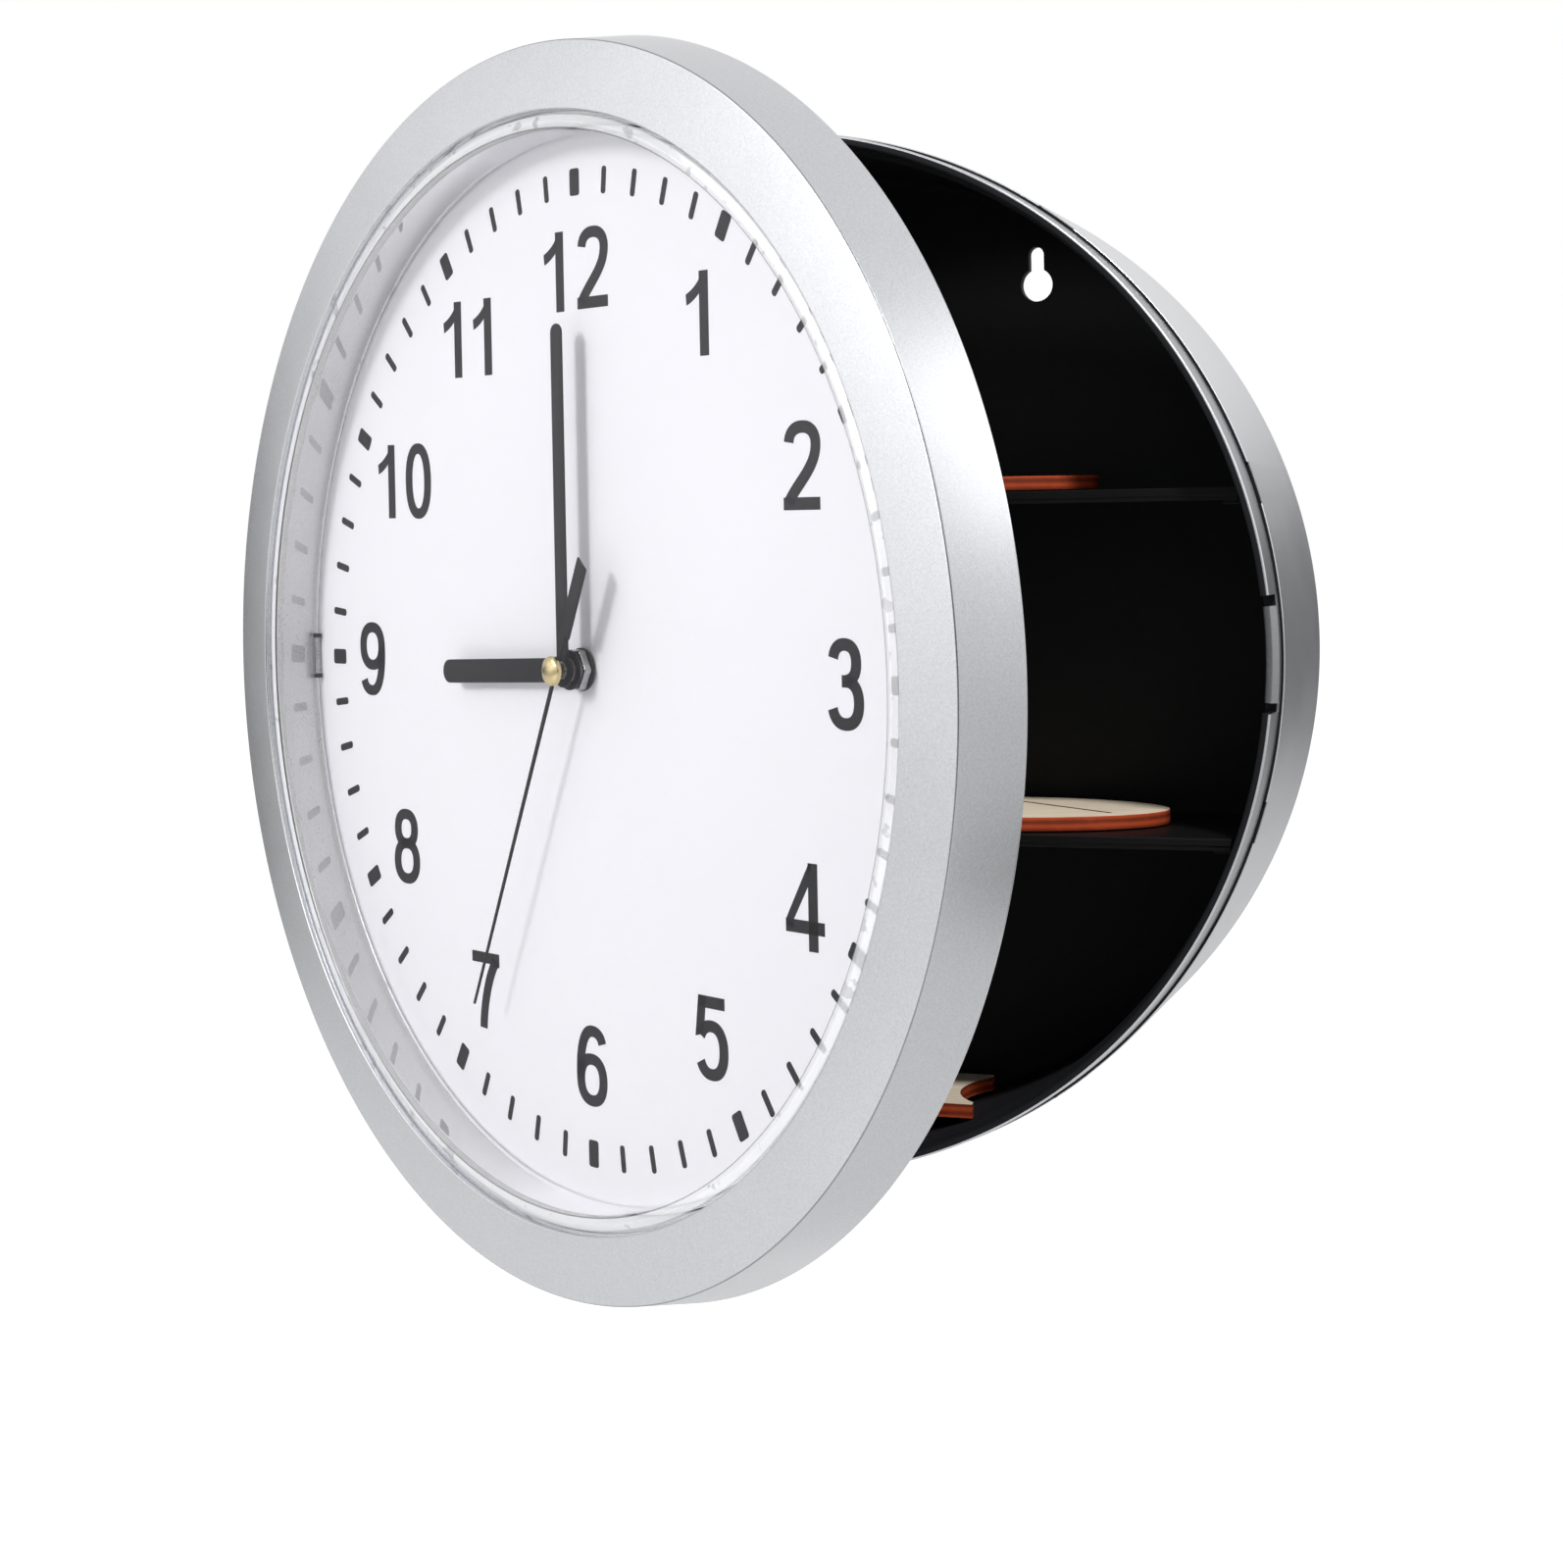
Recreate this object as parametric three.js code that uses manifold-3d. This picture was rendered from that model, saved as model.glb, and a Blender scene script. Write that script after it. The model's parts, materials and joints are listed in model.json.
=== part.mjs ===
// Wall clock whose round dial is a hinged door over a shallow hidden compartment.
// Millimetres. +Z is up, the wall is behind at Y = 0 and the clock faces -Y.
import * as THREE from 'three';
import { mergeVertices } from 'three/addons/utils/BufferGeometryUtils.js';
import Module from 'manifold-3d';

const wasm = await Module();
wasm.setup();

// Counts and angles
const ringFacets = 54;
const ovalFacets = 36;
const barrelFacets = 16;
const rodFacets = 12;
const arcSteps = 3;
const keyholeSteps = 8;
const quarterTurn = Math.PI / 2;
const degree = Math.PI / 180;
const openAngle = 30 * degree;
const hourHandAngle = 268 * degree;
const minuteHandAngle = 0 * degree;
const secondHandAngle = 205 * degree;

// Clearances
const gap = 0.3;
const fineGap = 0.2;
const overrun = 2;

// Case shell, a shallow tub that hangs on the wall
const doorOverhang = 12.5;
const shellTaper = 2.9;
const shellDepth = 52.7;
const shellWall = 2.2;
const shellEdgeRound = 2.4;
const shellInnerRound = 2;
const snapSlotCount = 10;
const snapSlotLength = 9;
const snapSlotDepth = 0.8;
const keyholeSide = 46.5;
const keyholeDrop = 28.6;
const keyholeHeadRadius = 3.75;
const keyholeSlotWidth = 3.6;
const keyholeSlotRise = 8.6;

// Case rim, the ring that snaps into the shell and carries hinge and latch
const lipStep = 0.7;
const lipThickness = 1.8;
const lipRise = 8.2;
const lipChamfer = 0.3;
const tongueInset = 1.2;
const tongueLength = 5.5;
const tongueStep = 1.5;

// Shelves
const shelfThickness = 1.6;
const upperShelfTop = 33.9;
const lowerShelfTop = -38.4;
const shelfFrontInset = 1.7;
const ledgeWidth = 4;
const ledgeThickness = 1.6;
const shelfNoseDrop = 1;
const shelfNoseLength = 1.4;

// Loose boards that lie on the shelves and on the floor
const boardThickness = 3;
const ovalHalfWidth = 43;
const ovalHalfDepth = 22.5;
const lowerOvalEndSpace = 20.5;
const upperOvalEndSpace = 36.5;
const ovalBackSpace = 3;
const boardSlotLength = 34;
const boardSlotWidth = 1.2;
const boardSlotShift = 19;
const boardSlotBack = 2.5;
const boardSlotTurn = -38 * degree;
const floorBoardLift = 8.6;
const floorBoardDepth = 33;
const floorBoardBackSpace = 4;
const floorBoardSideSpace = 0.8;
const floorNotchRadius = 22.5;
const floorNotchOutset = 17.4;
const floorNotchBack = 2.5;

// Door bezel
const bezelBackRadius = 125;
const bezelTaper = 1.6;
const bezelFaceWidth = 14.1;
const bezelHeight = 15;
const bezelWall = 2;
const bezelEdgeRound = 0.9;
const bezelCrown = 0.5;
const beadOverlap = 0.7;
const beadWidth = 0.9;
const beadRise = 0.4;
const beadShoulder = 0.2;
const grooveDepth = 0.45;
const innerWallTaper = 2;
const innerWallThickness = 1.2;
const innerWallBack = 0.8;

// Lens, dial and the plate that closes the door from behind
const lensThickness = 1.3;
const lensWallThickness = 1;
const lensFootInset = 1.4;
const lensSetback = 0.3;
const dialFace = 3.5;
const dialThickness = 0.5;
const plateThickness = 1.5;
const plateFlangeLap = 0.9;
const plateFlangeThickness = 1.4;
const plateRimWidth = 3;
const ribCount = 6;
const ribWidth = 1.4;
const ribStart = 46;
const screwCount = 4;
const screwHeadRadius = 1.4;
const screwHeadHeight = 0.9;
const screwShankRadius = 0.7;
const lensClipHeight = 8;
const lensClipThickness = 0.5;
const lensClipFoot = 1.6;

// Hinge at the nine o'clock side
const hingeInset = 8;
const hingeRise = 5;
const knuckleRadius = 2.6;
const doorKnuckleLength = 20;
const caseKnuckleLength = 7;
const hingePinRadius = 1;
const hingePinHeadRadius = 1.7;
const hingePinHeadHeight = 0.9;
const hingeWebThickness = 3;

// Latch at the three o'clock side
const latchNotchHeight = 24;
const latchTabHeight = 19.5;
const latchTabThickness = 1.5;
const latchBarb = 1.1;
const latchBarbRise = 2;
const latchBarbLead = 0.5;
const latchBarbBack = 5.4;
const keeperHeight = 16;
const keeperArm = 2;
const keeperToothRise = 1.5;
const keeperToothBack = 2.9;
const latchClearance = 0.3;

// Stack of spindles through the dial
const secondArborRadius = 0.4;
const minuteArborRadius = 1.15;
const minuteArborWall = 0.45;
const hourPipeRadius = 1.95;
const hourPipeWall = 0.4;
const bushRadius = 3.1;
const bushRise = 1.9;
const washerRadius = 4.3;
const washerThickness = 0.6;
const nutRadius = 4.6;
const nutHeight = 1.6;
const nutSides = 6;

// Hands
const handThickness = 0.4;
const hourHandWidth = 4.9;
const hourHandLength = 47;
const hourHandHub = 4;
const hourHandLevel = 6.9;
const minuteHandWidth = 3.8;
const minuteHandLength = 68.6;
const minuteHandHub = 3.4;
const minuteHandLevel = 8.4;
const secondHandLevel = 10.1;
const secondHandLength = 77;
const secondHandWidth = 0.9;
const secondHandTail = 24;
const secondWeightStart = 6.5;
const secondWeightWidth = 3.4;
const secondWeightSlant = 1.2;
const secondHandHub = 1.8;
const collarHeight = 0.8;
const capRadius = 3;
const capHeight = 1.7;
const capSkirt = 0.6;

// Movement case, a square box clamped behind the plate
const movementSide = 56;
const movementDepth = 16;
const movementFrontGap = 0.3;
const movementWall = 1.2;
const movementCorner = 3;
const coverThickness = 1.2;
const batteryRadius = 7;
const batteryLength = 48.6;
const batteryTipRadius = 2.7;
const batteryTipLength = 1.4;
const batteryBayWidth = 15.6;
const contactThickness = 0.4;
const contactHeight = 10;
const springRadius = 3.2;
const bossRadius = 1.6;
const coverBossHeight = 1.6;
const pivotRadius = 0.5;
const studRadius = 0.38;

// Gear train: teeth and modules
const rotorTeeth = 8;
const fifthTeeth = 48;
const fifthPinionTeeth = 8;
const secondTeeth = 40;
const secondPinionTeeth = 6;
const thirdTeeth = 45;
const thirdPinionTeeth = 6;
const centreTeeth = 48;
const cannonTeeth = 8;
const minuteWheelTeeth = 24;
const minutePinionTeeth = 8;
const hourTeeth = 32;
const setterTeeth = 12;
const rotorModule = 0.25;
const fifthPinionModule = 0.3;
const secondPinionModule = 0.35;
const cannonModule = 0.45;
const wheelThickness = 0.7;
const pinionLength = 1.2;
const wheelSpacing = 2;
const firstWheelInset = 0.7;
const smallestWheel = 20;
const wheelToothShares = [[-2.1, -0.5], [0.9, -0.08], [0.9, 0.08]];
const pinionLeafShares = [[-1.2, -0.26], [0.9, -0.08], [0.9, 0.08], [-1.2, 0.26]];
const fifthDirection = 150 * degree;
const rotorDirection = 100 * degree;
const thirdDirection = 45 * degree;
const minuteWheelDirection = -30 * degree;
const setterDirection = -10 * degree;

// Stepping motor and electronics
const magnetRadius = 2.2;
const magnetLength = 2.8;
const statorGap = 0.5;
const statorThickness = 0.6;
const statorRing = 2.4;
const statorLegWidth = 4;
const statorSpan = 20;
const statorRise = 11.5;
const coilRadius = 3.4;
const coilLength = 10.5;
const coilFlangeRadius = 4;
const coilFlangeThickness = 0.8;
const coreWidth = 2.4;
const boardWide = 20;
const boardTall = 9;
const circuitThickness = 0.8;
const circuitInset = 1.4;
const crystalRadius = 1;
const crystalLength = 6;
const chipRadius = 2.2;
const chipHeight = 0.9;
const chipInset = 7;

// Setting knob behind the cover
const setterShaftRadius = 0.9;
const knobRadius = 5.5;
const knobHeight = 2.6;
const knobFlutes = 12;
const knobFluteSides = 3;
const knobFluteDepth = 0.5;

// Radii that follow from the door's own, from the outside inwards
const bezelFrontRadius = bezelBackRadius - bezelTaper;
const innerWallFrontRadius = bezelFrontRadius - bezelFaceWidth;
const innerWallBackRadius = innerWallFrontRadius - innerWallTaper;
const beadInnerRadius = innerWallFrontRadius - beadOverlap;
const lensFootRadius = innerWallBackRadius - lensFootInset;
const plateFlangeRadius = innerWallBackRadius + plateFlangeLap;
const hingeReach = bezelBackRadius - hingeInset;
const shellSeamRadius = bezelBackRadius - doorOverhang;
const shellBackRadius = shellSeamRadius - shellTaper;
const lipRadius = shellSeamRadius - lipStep;
const lipInnerRadius = lipRadius - lipThickness;
const tongueInnerRadius = lipInnerRadius - tongueInset;

// Places that follow from the sizes above
const keyholeHeight = shellBackRadius - keyholeDrop;
const floorBoardTop = floorBoardLift + shellWall - shellBackRadius;
const rimBase = shellDepth + gap;
const lipFront = rimBase + lipRise;
const shelfFront = shellDepth - shelfFrontInset;
const lensFront = bezelHeight - lensSetback;
const lensInside = lensFront - lensThickness;
const lensFoot = dialFace + gap;
const dialBack = dialFace - dialThickness;
const plateFront = dialBack - gap;
const plateBack = plateFront - plateThickness;
const flangeFront = innerWallBack - gap;
const flangeBack = flangeFront - plateFlangeThickness;
const movementFront = plateBack - movementFrontGap;
const movementBack = movementFront - movementDepth;
const cavityFront = movementFront - movementWall;
const coverFront = movementBack + coverThickness;
const halfSide = movementSide / 2;
const halfInside = halfSide - movementWall;
const bayTop = batteryBayWidth - halfInside;
const washerBack = dialFace + gap;
const nutBack = washerBack + washerThickness + gap;
const bushFront = nutBack + bushRise;
const capBack = secondHandLevel + handThickness + gap;

// Radius of a cone of revolution at a height between its two ends
function radiusAt(height, fromHeight, fromRadius, toHeight, toRadius) {
  const share = (height - fromHeight) / (toHeight - fromHeight);
  return fromRadius + (toRadius - fromRadius) * share;
}

function shellInside(height) {
  return radiusAt(height, 0, shellBackRadius, shellDepth, shellSeamRadius) - shellWall;
}

function innerWallInside(height) {
  return radiusAt(height, innerWallBack, innerWallBackRadius, bezelHeight, innerWallFrontRadius);
}

// Half of the chord that a circle leaves at a given distance from its centre
function halfChord(radius, distance) {
  return Math.sqrt(radius * radius - distance * distance);
}

// Points of an arc from one angle to another, as pairs
function arc(centreX, centreY, radius, from, to, steps = arcSteps) {
  return Array.from({ length: steps + 1 }, (unused, i) => {
    const angle = from + ((to - from) * i) / steps;
    return [centreX + radius * Math.cos(angle), centreY + radius * Math.sin(angle)];
  });
}

// Merges shared corners, drops empty triangles and turns every face outwards
function closed(geometry) {
  const bare = geometry.clone();
  bare.deleteAttribute('normal');
  bare.deleteAttribute('uv');
  const merged = mergeVertices(bare);
  const index = merged.index.array;
  const position = merged.attributes.position;
  const corner = (i) => new THREE.Vector3().fromBufferAttribute(position, i);
  const kept = [];
  let volume = 0;
  for (let i = 0; i < index.length; i += 3) {
    const [a, b, c] = [index[i], index[i + 1], index[i + 2]];
    if (a !== b && b !== c && c !== a) {
      kept.push([a, b, c]);
      volume += corner(a).dot(corner(b).cross(corner(c)));
    }
  }
  const turned = volume < 0 ? kept.map(([a, b, c]) => [a, c, b]) : kept;
  merged.setIndex(turned.flat());
  return merged;
}

function solid(geometry) {
  const whole = closed(geometry);
  return new wasm.Manifold(new wasm.Mesh({
    numProp: 3,
    vertProperties: new Float32Array(whole.attributes.position.array),
    triVerts: new Uint32Array(whole.index.array),
  }));
}

function geometryOf(body) {
  const mesh = body.getMesh();
  const geometry = new THREE.BufferGeometry();
  geometry.setAttribute('position', new THREE.BufferAttribute(mesh.vertProperties, mesh.numProp));
  geometry.setIndex(new THREE.BufferAttribute(mesh.triVerts, 1));
  return geometry;
}

// The shapes below stand on the clock's face frame: x right, y up, z towards the viewer

// Revolves a profile of radius and height pairs round the z axis
function turned(profile, facets = ringFacets) {
  const points = profile.map(([radius, height]) => new THREE.Vector2(radius, height));
  const onAxis = points[0].x === 0 && points[points.length - 1].x === 0;
  const loop = onAxis ? points : [...points, points[0].clone()];
  return new THREE.LatheGeometry(loop, facets).rotateX(quarterTurn);
}

function rod(radius, from, to, facets = rodFacets) {
  return turned([[0, from], [radius, from], [radius, to], [0, to]], facets);
}

function tube(inner, outer, from, to, facets = rodFacets) {
  return turned([[inner, from], [outer, from], [outer, to], [inner, to]], facets);
}

function outline(points, clockwise = false) {
  const corners = points.map(([x, y]) => new THREE.Vector2(x, y));
  if (THREE.ShapeUtils.isClockWise(corners) !== clockwise) corners.reverse();
  return new THREE.Shape(corners);
}

// Extrudes an outline, with optional round or free-form holes, between two heights
function slab(points, from, to, holes = []) {
  const shape = outline(points);
  shape.holes = holes.map((hole) => outline(hole, true));
  const settings = { depth: to - from, bevelEnabled: false };
  return new THREE.ExtrudeGeometry(shape, settings).translate(0, 0, from);
}

function block(x0, x1, y0, y1, z0, z1) {
  const box = new THREE.BoxGeometry(x1 - x0, y1 - y0, z1 - z0);
  return box.translate((x0 + x1) / 2, (y0 + y1) / 2, (z0 + z1) / 2);
}

// Upright rod, its axis along y
function uprightRod(radius, x, z, from, to, facets = rodFacets) {
  return rod(radius, from, to, facets).rotateX(-quarterTurn).translate(x, 0, z);
}

// Sideways rod, its axis along x
function sideRod(radius, y, z, from, to, facets = rodFacets) {
  return rod(radius, from, to, facets).rotateY(quarterTurn).translate(0, y, z);
}

function join(first, ...others) {
  return others.reduce((body, other) => body.add(solid(other)), solid(first));
}

function circle(radius, facets = rodFacets, x = 0, y = 0) {
  return arc(x, y, radius, 0, 2 * Math.PI, facets).slice(0, -1);
}

// Square outline with rounded corners
function roundedSquare(half, radius) {
  const inset = half - radius;
  return [
    ...arc(inset, inset, radius, 0, quarterTurn),
    ...arc(-inset, inset, radius, quarterTurn, 2 * quarterTurn),
    ...arc(-inset, -inset, radius, 2 * quarterTurn, 3 * quarterTurn),
    ...arc(inset, -inset, radius, 3 * quarterTurn, 4 * quarterTurn),
  ];
}

// Spur gear outline. A tooth's corners are given in modules from the pitch circle and in
// shares of a pitch from the middle of the tooth; tooth number nought points along phase.
function gearOutline(teeth, gearModule, phase) {
  const corners = teeth < smallestWheel ? pinionLeafShares : wheelToothShares;
  const pitchRadius = (gearModule * teeth) / 2;
  const pitchAngle = (2 * Math.PI) / teeth;
  return Array.from({ length: teeth }, (unused, tooth) => corners.map(([rise, share]) => {
    const radius = pitchRadius + rise * gearModule;
    const angle = phase + (tooth + share) * pitchAngle;
    return [radius * Math.cos(angle), radius * Math.sin(angle)];
  })).flat();
}

function gear(teeth, gearModule, phase, from, to, boreRadius = 0) {
  const holes = boreRadius > 0 ? [circle(boreRadius)] : [];
  return slab(gearOutline(teeth, gearModule, phase), from, to, holes);
}

const materials = {
  silver: new THREE.MeshStandardMaterial({ color: 0xb9bbc0, roughness: 0.38, metalness: 0.6 }),
  blackPlastic: new THREE.MeshStandardMaterial({ color: 0x101012, roughness: 0.5, metalness: 0 }),
  plywood: new THREE.MeshStandardMaterial({ color: 0xd8c8ac, roughness: 0.8, metalness: 0 }),
  clear: new THREE.MeshStandardMaterial({
    color: 0xf2f4f5, roughness: 0.05, metalness: 0, transparent: true, opacity: 0.25,
  }),
  dial: new THREE.MeshStandardMaterial({ color: 0xf2f1f6, roughness: 0.6, metalness: 0 }),
  handPaint: new THREE.MeshStandardMaterial({ color: 0x38383c, roughness: 0.45, metalness: 0 }),
  steel: new THREE.MeshStandardMaterial({ color: 0x9a9c9f, roughness: 0.3, metalness: 1 }),
  brass: new THREE.MeshStandardMaterial({ color: 0xc2a35a, roughness: 0.25, metalness: 1 }),
  gearPlastic: new THREE.MeshStandardMaterial({ color: 0xe6e2d6, roughness: 0.45, metalness: 0 }),
  copper: new THREE.MeshStandardMaterial({ color: 0xb06a3a, roughness: 0.35, metalness: 1 }),
  circuit: new THREE.MeshStandardMaterial({ color: 0x1f5a35, roughness: 0.5, metalness: 0 }),
  battery: new THREE.MeshStandardMaterial({ color: 0x7c8084, roughness: 0.35, metalness: 0.6 }),
};

function piece(name, shape, material, parent, place = [0, 0, 0], turn = 0) {
  const geometry = shape instanceof wasm.Manifold ? geometryOf(shape) : closed(shape);
  geometry.computeVertexNormals();
  const mesh = new THREE.Mesh(geometry, material);
  mesh.name = name;
  mesh.position.set(...place);
  mesh.rotation.z = turn;
  parent.add(mesh);
  return mesh;
}

// The clock's face frame, the case in it, and the door that turns about the hinge pin
const clock = new THREE.Group();
const face = new THREE.Group();
face.rotation.x = quarterTurn;
clock.add(face);
const hinge = new THREE.Group();
hinge.position.set(-hingeReach, 0, rimBase + hingeRise);
hinge.rotation.y = -openAngle;
face.add(hinge);
const door = new THREE.Group();
door.position.set(hingeReach, 0, -hingeRise);
hinge.add(door);

// Keyhole: a round head with a narrower slot rising from it
function keyholeOutline(side) {
  const slot = keyholeSlotWidth / 2;
  const shoulder = Math.asin(slot / keyholeHeadRadius);
  const x = side * keyholeSide;
  const top = keyholeHeight + keyholeSlotRise - slot;
  const [from, to] = [quarterTurn + shoulder, 5 * quarterTurn - shoulder];
  return [
    ...arc(x, top, slot, 0, Math.PI),
    ...arc(x, keyholeHeight, keyholeHeadRadius, from, to, keyholeSteps),
  ];
}

// Small ledge on each side wall under a shelf
function shelfLedges(top) {
  const upper = top - shelfThickness - gap;
  const lower = upper - ledgeThickness;
  const end = halfChord(shellInside(shellWall), upper);
  const front = rimBase - tongueLength - gap;
  const back = shellWall - gap;
  const room = solid(turned([
    [0, back],
    [shellInside(back) + shellWall / 2, back],
    [shellInside(front) + shellWall / 2, front],
    [0, front],
  ]));
  const bar = block(-end - ledgeWidth, end + ledgeWidth, lower, upper, back, front);
  const inner = end - ledgeWidth;
  const middle = block(-inner, inner, lower - overrun, upper + overrun, 0, shellDepth);
  return solid(bar).subtract(solid(middle)).intersect(room);
}

function caseShell() {
  const round = shellInnerRound;
  const inside = shellInside(shellWall + round);
  const profile = [
    [0, 0],
    ...arc(shellBackRadius - shellEdgeRound, shellEdgeRound, shellEdgeRound, -quarterTurn, 0),
    [shellSeamRadius, shellDepth],
    [shellInside(shellDepth), shellDepth],
    ...arc(inside - round, shellWall + round, round, 0, -quarterTurn),
    [0, shellWall],
  ];
  const keyholes = [-1, 1].map((side) => slab(keyholeOutline(side), -overrun, shellWall + overrun));
  const ledges = [upperShelfTop, lowerShelfTop].map(shelfLedges);
  const body = ledges.reduce((whole, ledge) => whole.add(ledge), solid(turned(profile)));
  return [...keyholes, ...snapSlots()].reduce((whole, cut) => whole.subtract(solid(cut)), body);
}

// Shallow slots in the shell's front edge, where a blade lifts the rim out
function snapSlots() {
  const half = snapSlotLength / 2;
  const inner = shellInside(shellDepth) - overrun;
  return Array.from({ length: snapSlotCount }, (unused, i) => {
    const angle = ((i + 1 / 2) * 2 * Math.PI) / snapSlotCount;
    const cut = block(inner, shellSeamRadius + overrun, -half, half, shellDepth - snapSlotDepth, rimBase);
    return cut.rotateZ(angle);
  });
}

// Lip and tongue of the rim, with the notch for the latch and the two hinge knuckles
function caseRim() {
  const tongueBack = rimBase - tongueLength;
  const profile = [
    [lipRadius, rimBase],
    [lipRadius, lipFront - lipChamfer],
    [lipRadius - lipChamfer, lipFront],
    [lipInnerRadius + lipChamfer, lipFront],
    [lipInnerRadius, lipFront - lipChamfer],
    [lipInnerRadius, rimBase + tongueStep],
    [tongueInnerRadius, rimBase],
    [tongueInnerRadius, tongueBack],
    [shellInside(tongueBack) - gap, tongueBack],
    [shellInside(shellDepth) - gap, rimBase],
  ];
  const half = latchNotchHeight / 2;
  const outer = lipRadius + overrun;
  const notch = block(lipRadius / 2, outer, -half, half, rimBase + gap, lipFront + overrun);
  const level = rimBase + hingeRise;
  const start = doorKnuckleLength / 2 + gap;
  const end = start + caseKnuckleLength;
  const web = hingeWebThickness / 2;
  const knuckles = join(
    uprightRod(knuckleRadius, -hingeReach, level, -end, end),
    block(-hingeReach, -lipInnerRadius / 2, gap - end, end - gap, level - web, level + web),
  );
  const middle = block(-hingeReach - knuckleRadius - overrun, 0, -start, start, rimBase, lipFront);
  const room = rod(lipInnerRadius + lipThickness / 2, 0, lipFront + overrun, ringFacets);
  const kept = knuckles.subtract(solid(middle)).subtract(solid(room));
  const reach = end + overrun;
  const hole = uprightRod(hingePinRadius + fineGap, -hingeReach, level, -reach, reach);
  return solid(turned(profile)).subtract(solid(notch)).add(kept).subtract(solid(hole));
}

// Outline in the x and z directions, raised along y between two levels
function deck(points, from, to, holes = []) {
  const laid = (list) => list.map(([x, z]) => [x, -z]);
  return slab(laid(points), from, to, holes.map(laid)).rotateX(-quarterTurn);
}

function mirrored(right) {
  return [...right, ...right.map(([x, z]) => [-x, z]).reverse()];
}

// Shelf plate between the side walls, narrower in front where it passes the rim's tongue
function shelf(top) {
  const reach = Math.max(Math.abs(top), Math.abs(top - shelfThickness - shelfNoseDrop));
  const back = shellWall + gap;
  const step = rimBase - tongueLength - gap;
  const corner = shellWall + shellInnerRound;
  const backEnd = halfChord(shellInside(corner), reach) - gap;
  const stepEnd = halfChord(shellInside(step), reach) - gap;
  const frontEnd = halfChord(tongueInnerRadius, reach) - gap;
  const right = [
    [backEnd - shellInnerRound, back],
    [backEnd, corner],
    [stepEnd, step],
    [frontEnd, step],
    [frontEnd, shelfFront],
  ];
  const under = top - shelfThickness;
  const noseFront = shelfFront - fineGap;
  const noseTop = top - shelfThickness / 2;
  const noseEnd = frontEnd - fineGap;
  const noseBack = noseFront - shelfNoseLength;
  const nose = block(-noseEnd, noseEnd, under - shelfNoseDrop, noseTop, noseBack, noseFront);
  return join(deck(mirrored(right), under, top), nose);
}

// Oval board with one narrow slot across its right half
function ovalBoard(endSpace, level, slotted) {
  const middle = shellWall + gap + ovalBackSpace + ovalHalfDepth;
  const shift = halfChord(shellInside(middle), level) - endSpace - ovalHalfWidth;
  const rim = circle(1, ovalFacets).map(([x, z]) => (
    [shift + x * ovalHalfWidth, middle + z * ovalHalfDepth]
  ));
  const along = new THREE.Vector2(Math.cos(boardSlotTurn), -Math.sin(boardSlotTurn));
  const across = new THREE.Vector2(-along.y, along.x);
  const corner = (forward, sideways) => {
    const point = new THREE.Vector2(shift + boardSlotShift, middle - boardSlotBack);
    point.addScaledVector(along, (forward * boardSlotLength) / 2);
    point.addScaledVector(across, (sideways * boardSlotWidth) / 2);
    return [point.x, point.y];
  };
  const slot = [corner(-1, -1), corner(1, -1), corner(1, 1), corner(-1, 1)];
  return deck(rim, level, level + boardThickness, slotted ? [slot] : []);
}

// Board across the bottom of the round case, with a finger notch in each end
function floorBoard() {
  const under = floorBoardTop - boardThickness;
  const back = shellWall + gap + floorBoardBackSpace;
  const front = back + floorBoardDepth;
  const backEnd = halfChord(shellInside(back), under) - floorBoardSideSpace;
  const frontEnd = halfChord(shellInside(front), under) - floorBoardSideSpace;
  const plate = deck(mirrored([[backEnd, back], [frontEnd, front]]), under, floorBoardTop);
  const middle = (back + front) / 2 - floorNotchBack;
  const centre = (backEnd + frontEnd) / 2 + floorNotchOutset;
  const [from, to] = [under - overrun, floorBoardTop + overrun];
  const notches = [-1, 1].map((side) => (
    uprightRod(floorNotchRadius, side * centre, middle, from, to, ovalFacets)
  ));
  return notches.reduce((board, notch) => board.subtract(solid(notch)), solid(plate));
}

function hingePin() {
  const end = doorKnuckleLength / 2 + gap + caseKnuckleLength;
  const top = end + fineGap;
  const level = rimBase + hingeRise;
  return join(
    uprightRod(hingePinRadius, -hingeReach, level, -end, top + overrun / 2),
    uprightRod(hingePinHeadRadius, -hingeReach, level, top, top + hingePinHeadHeight),
  );
}

// Springy tab that stands in the rim's notch, with a barb on its outer side
function latchTab() {
  const foot = rimBase + 2 * gap;
  const barb = rimBase + latchBarbBack;
  const profile = [
    [lipRadius - latchTabThickness, foot],
    [lipRadius, foot],
    [lipRadius, barb],
    [lipRadius + latchBarb, barb + latchBarbLead],
    [lipRadius, barb + latchBarbRise],
    [lipRadius, lipFront - gap],
    [lipRadius - latchTabThickness, lipFront - gap],
  ];
  const half = latchTabHeight / 2;
  const window = block(lipRadius / 2, lipRadius + latchBarb + overrun, -half, half, 0, lipFront);
  return solid(turned(profile)).intersect(solid(window));
}

// Hooked leg under the bezel's face that the barb slips behind
function latchKeeper() {
  const half = keeperHeight / 2;
  const inner = lipRadius + latchBarb + latchClearance;
  const front = bezelHeight - bezelWall - gap;
  const arm = inner + latchBarb - latchClearance;
  const leg = [
    [inner, keeperToothBack],
    [arm + keeperArm, keeperToothBack],
    [arm + keeperArm, front - keeperArm],
    [arm + 2 * keeperArm, front - keeperArm],
    [arm + 2 * keeperArm, front],
    [arm - keeperArm / 2, front],
    [arm, front - keeperArm],
    [arm, keeperToothBack + 2 * keeperToothRise],
    [inner, keeperToothBack + keeperToothRise],
  ];
  return deck(leg, -half, half);
}

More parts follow.
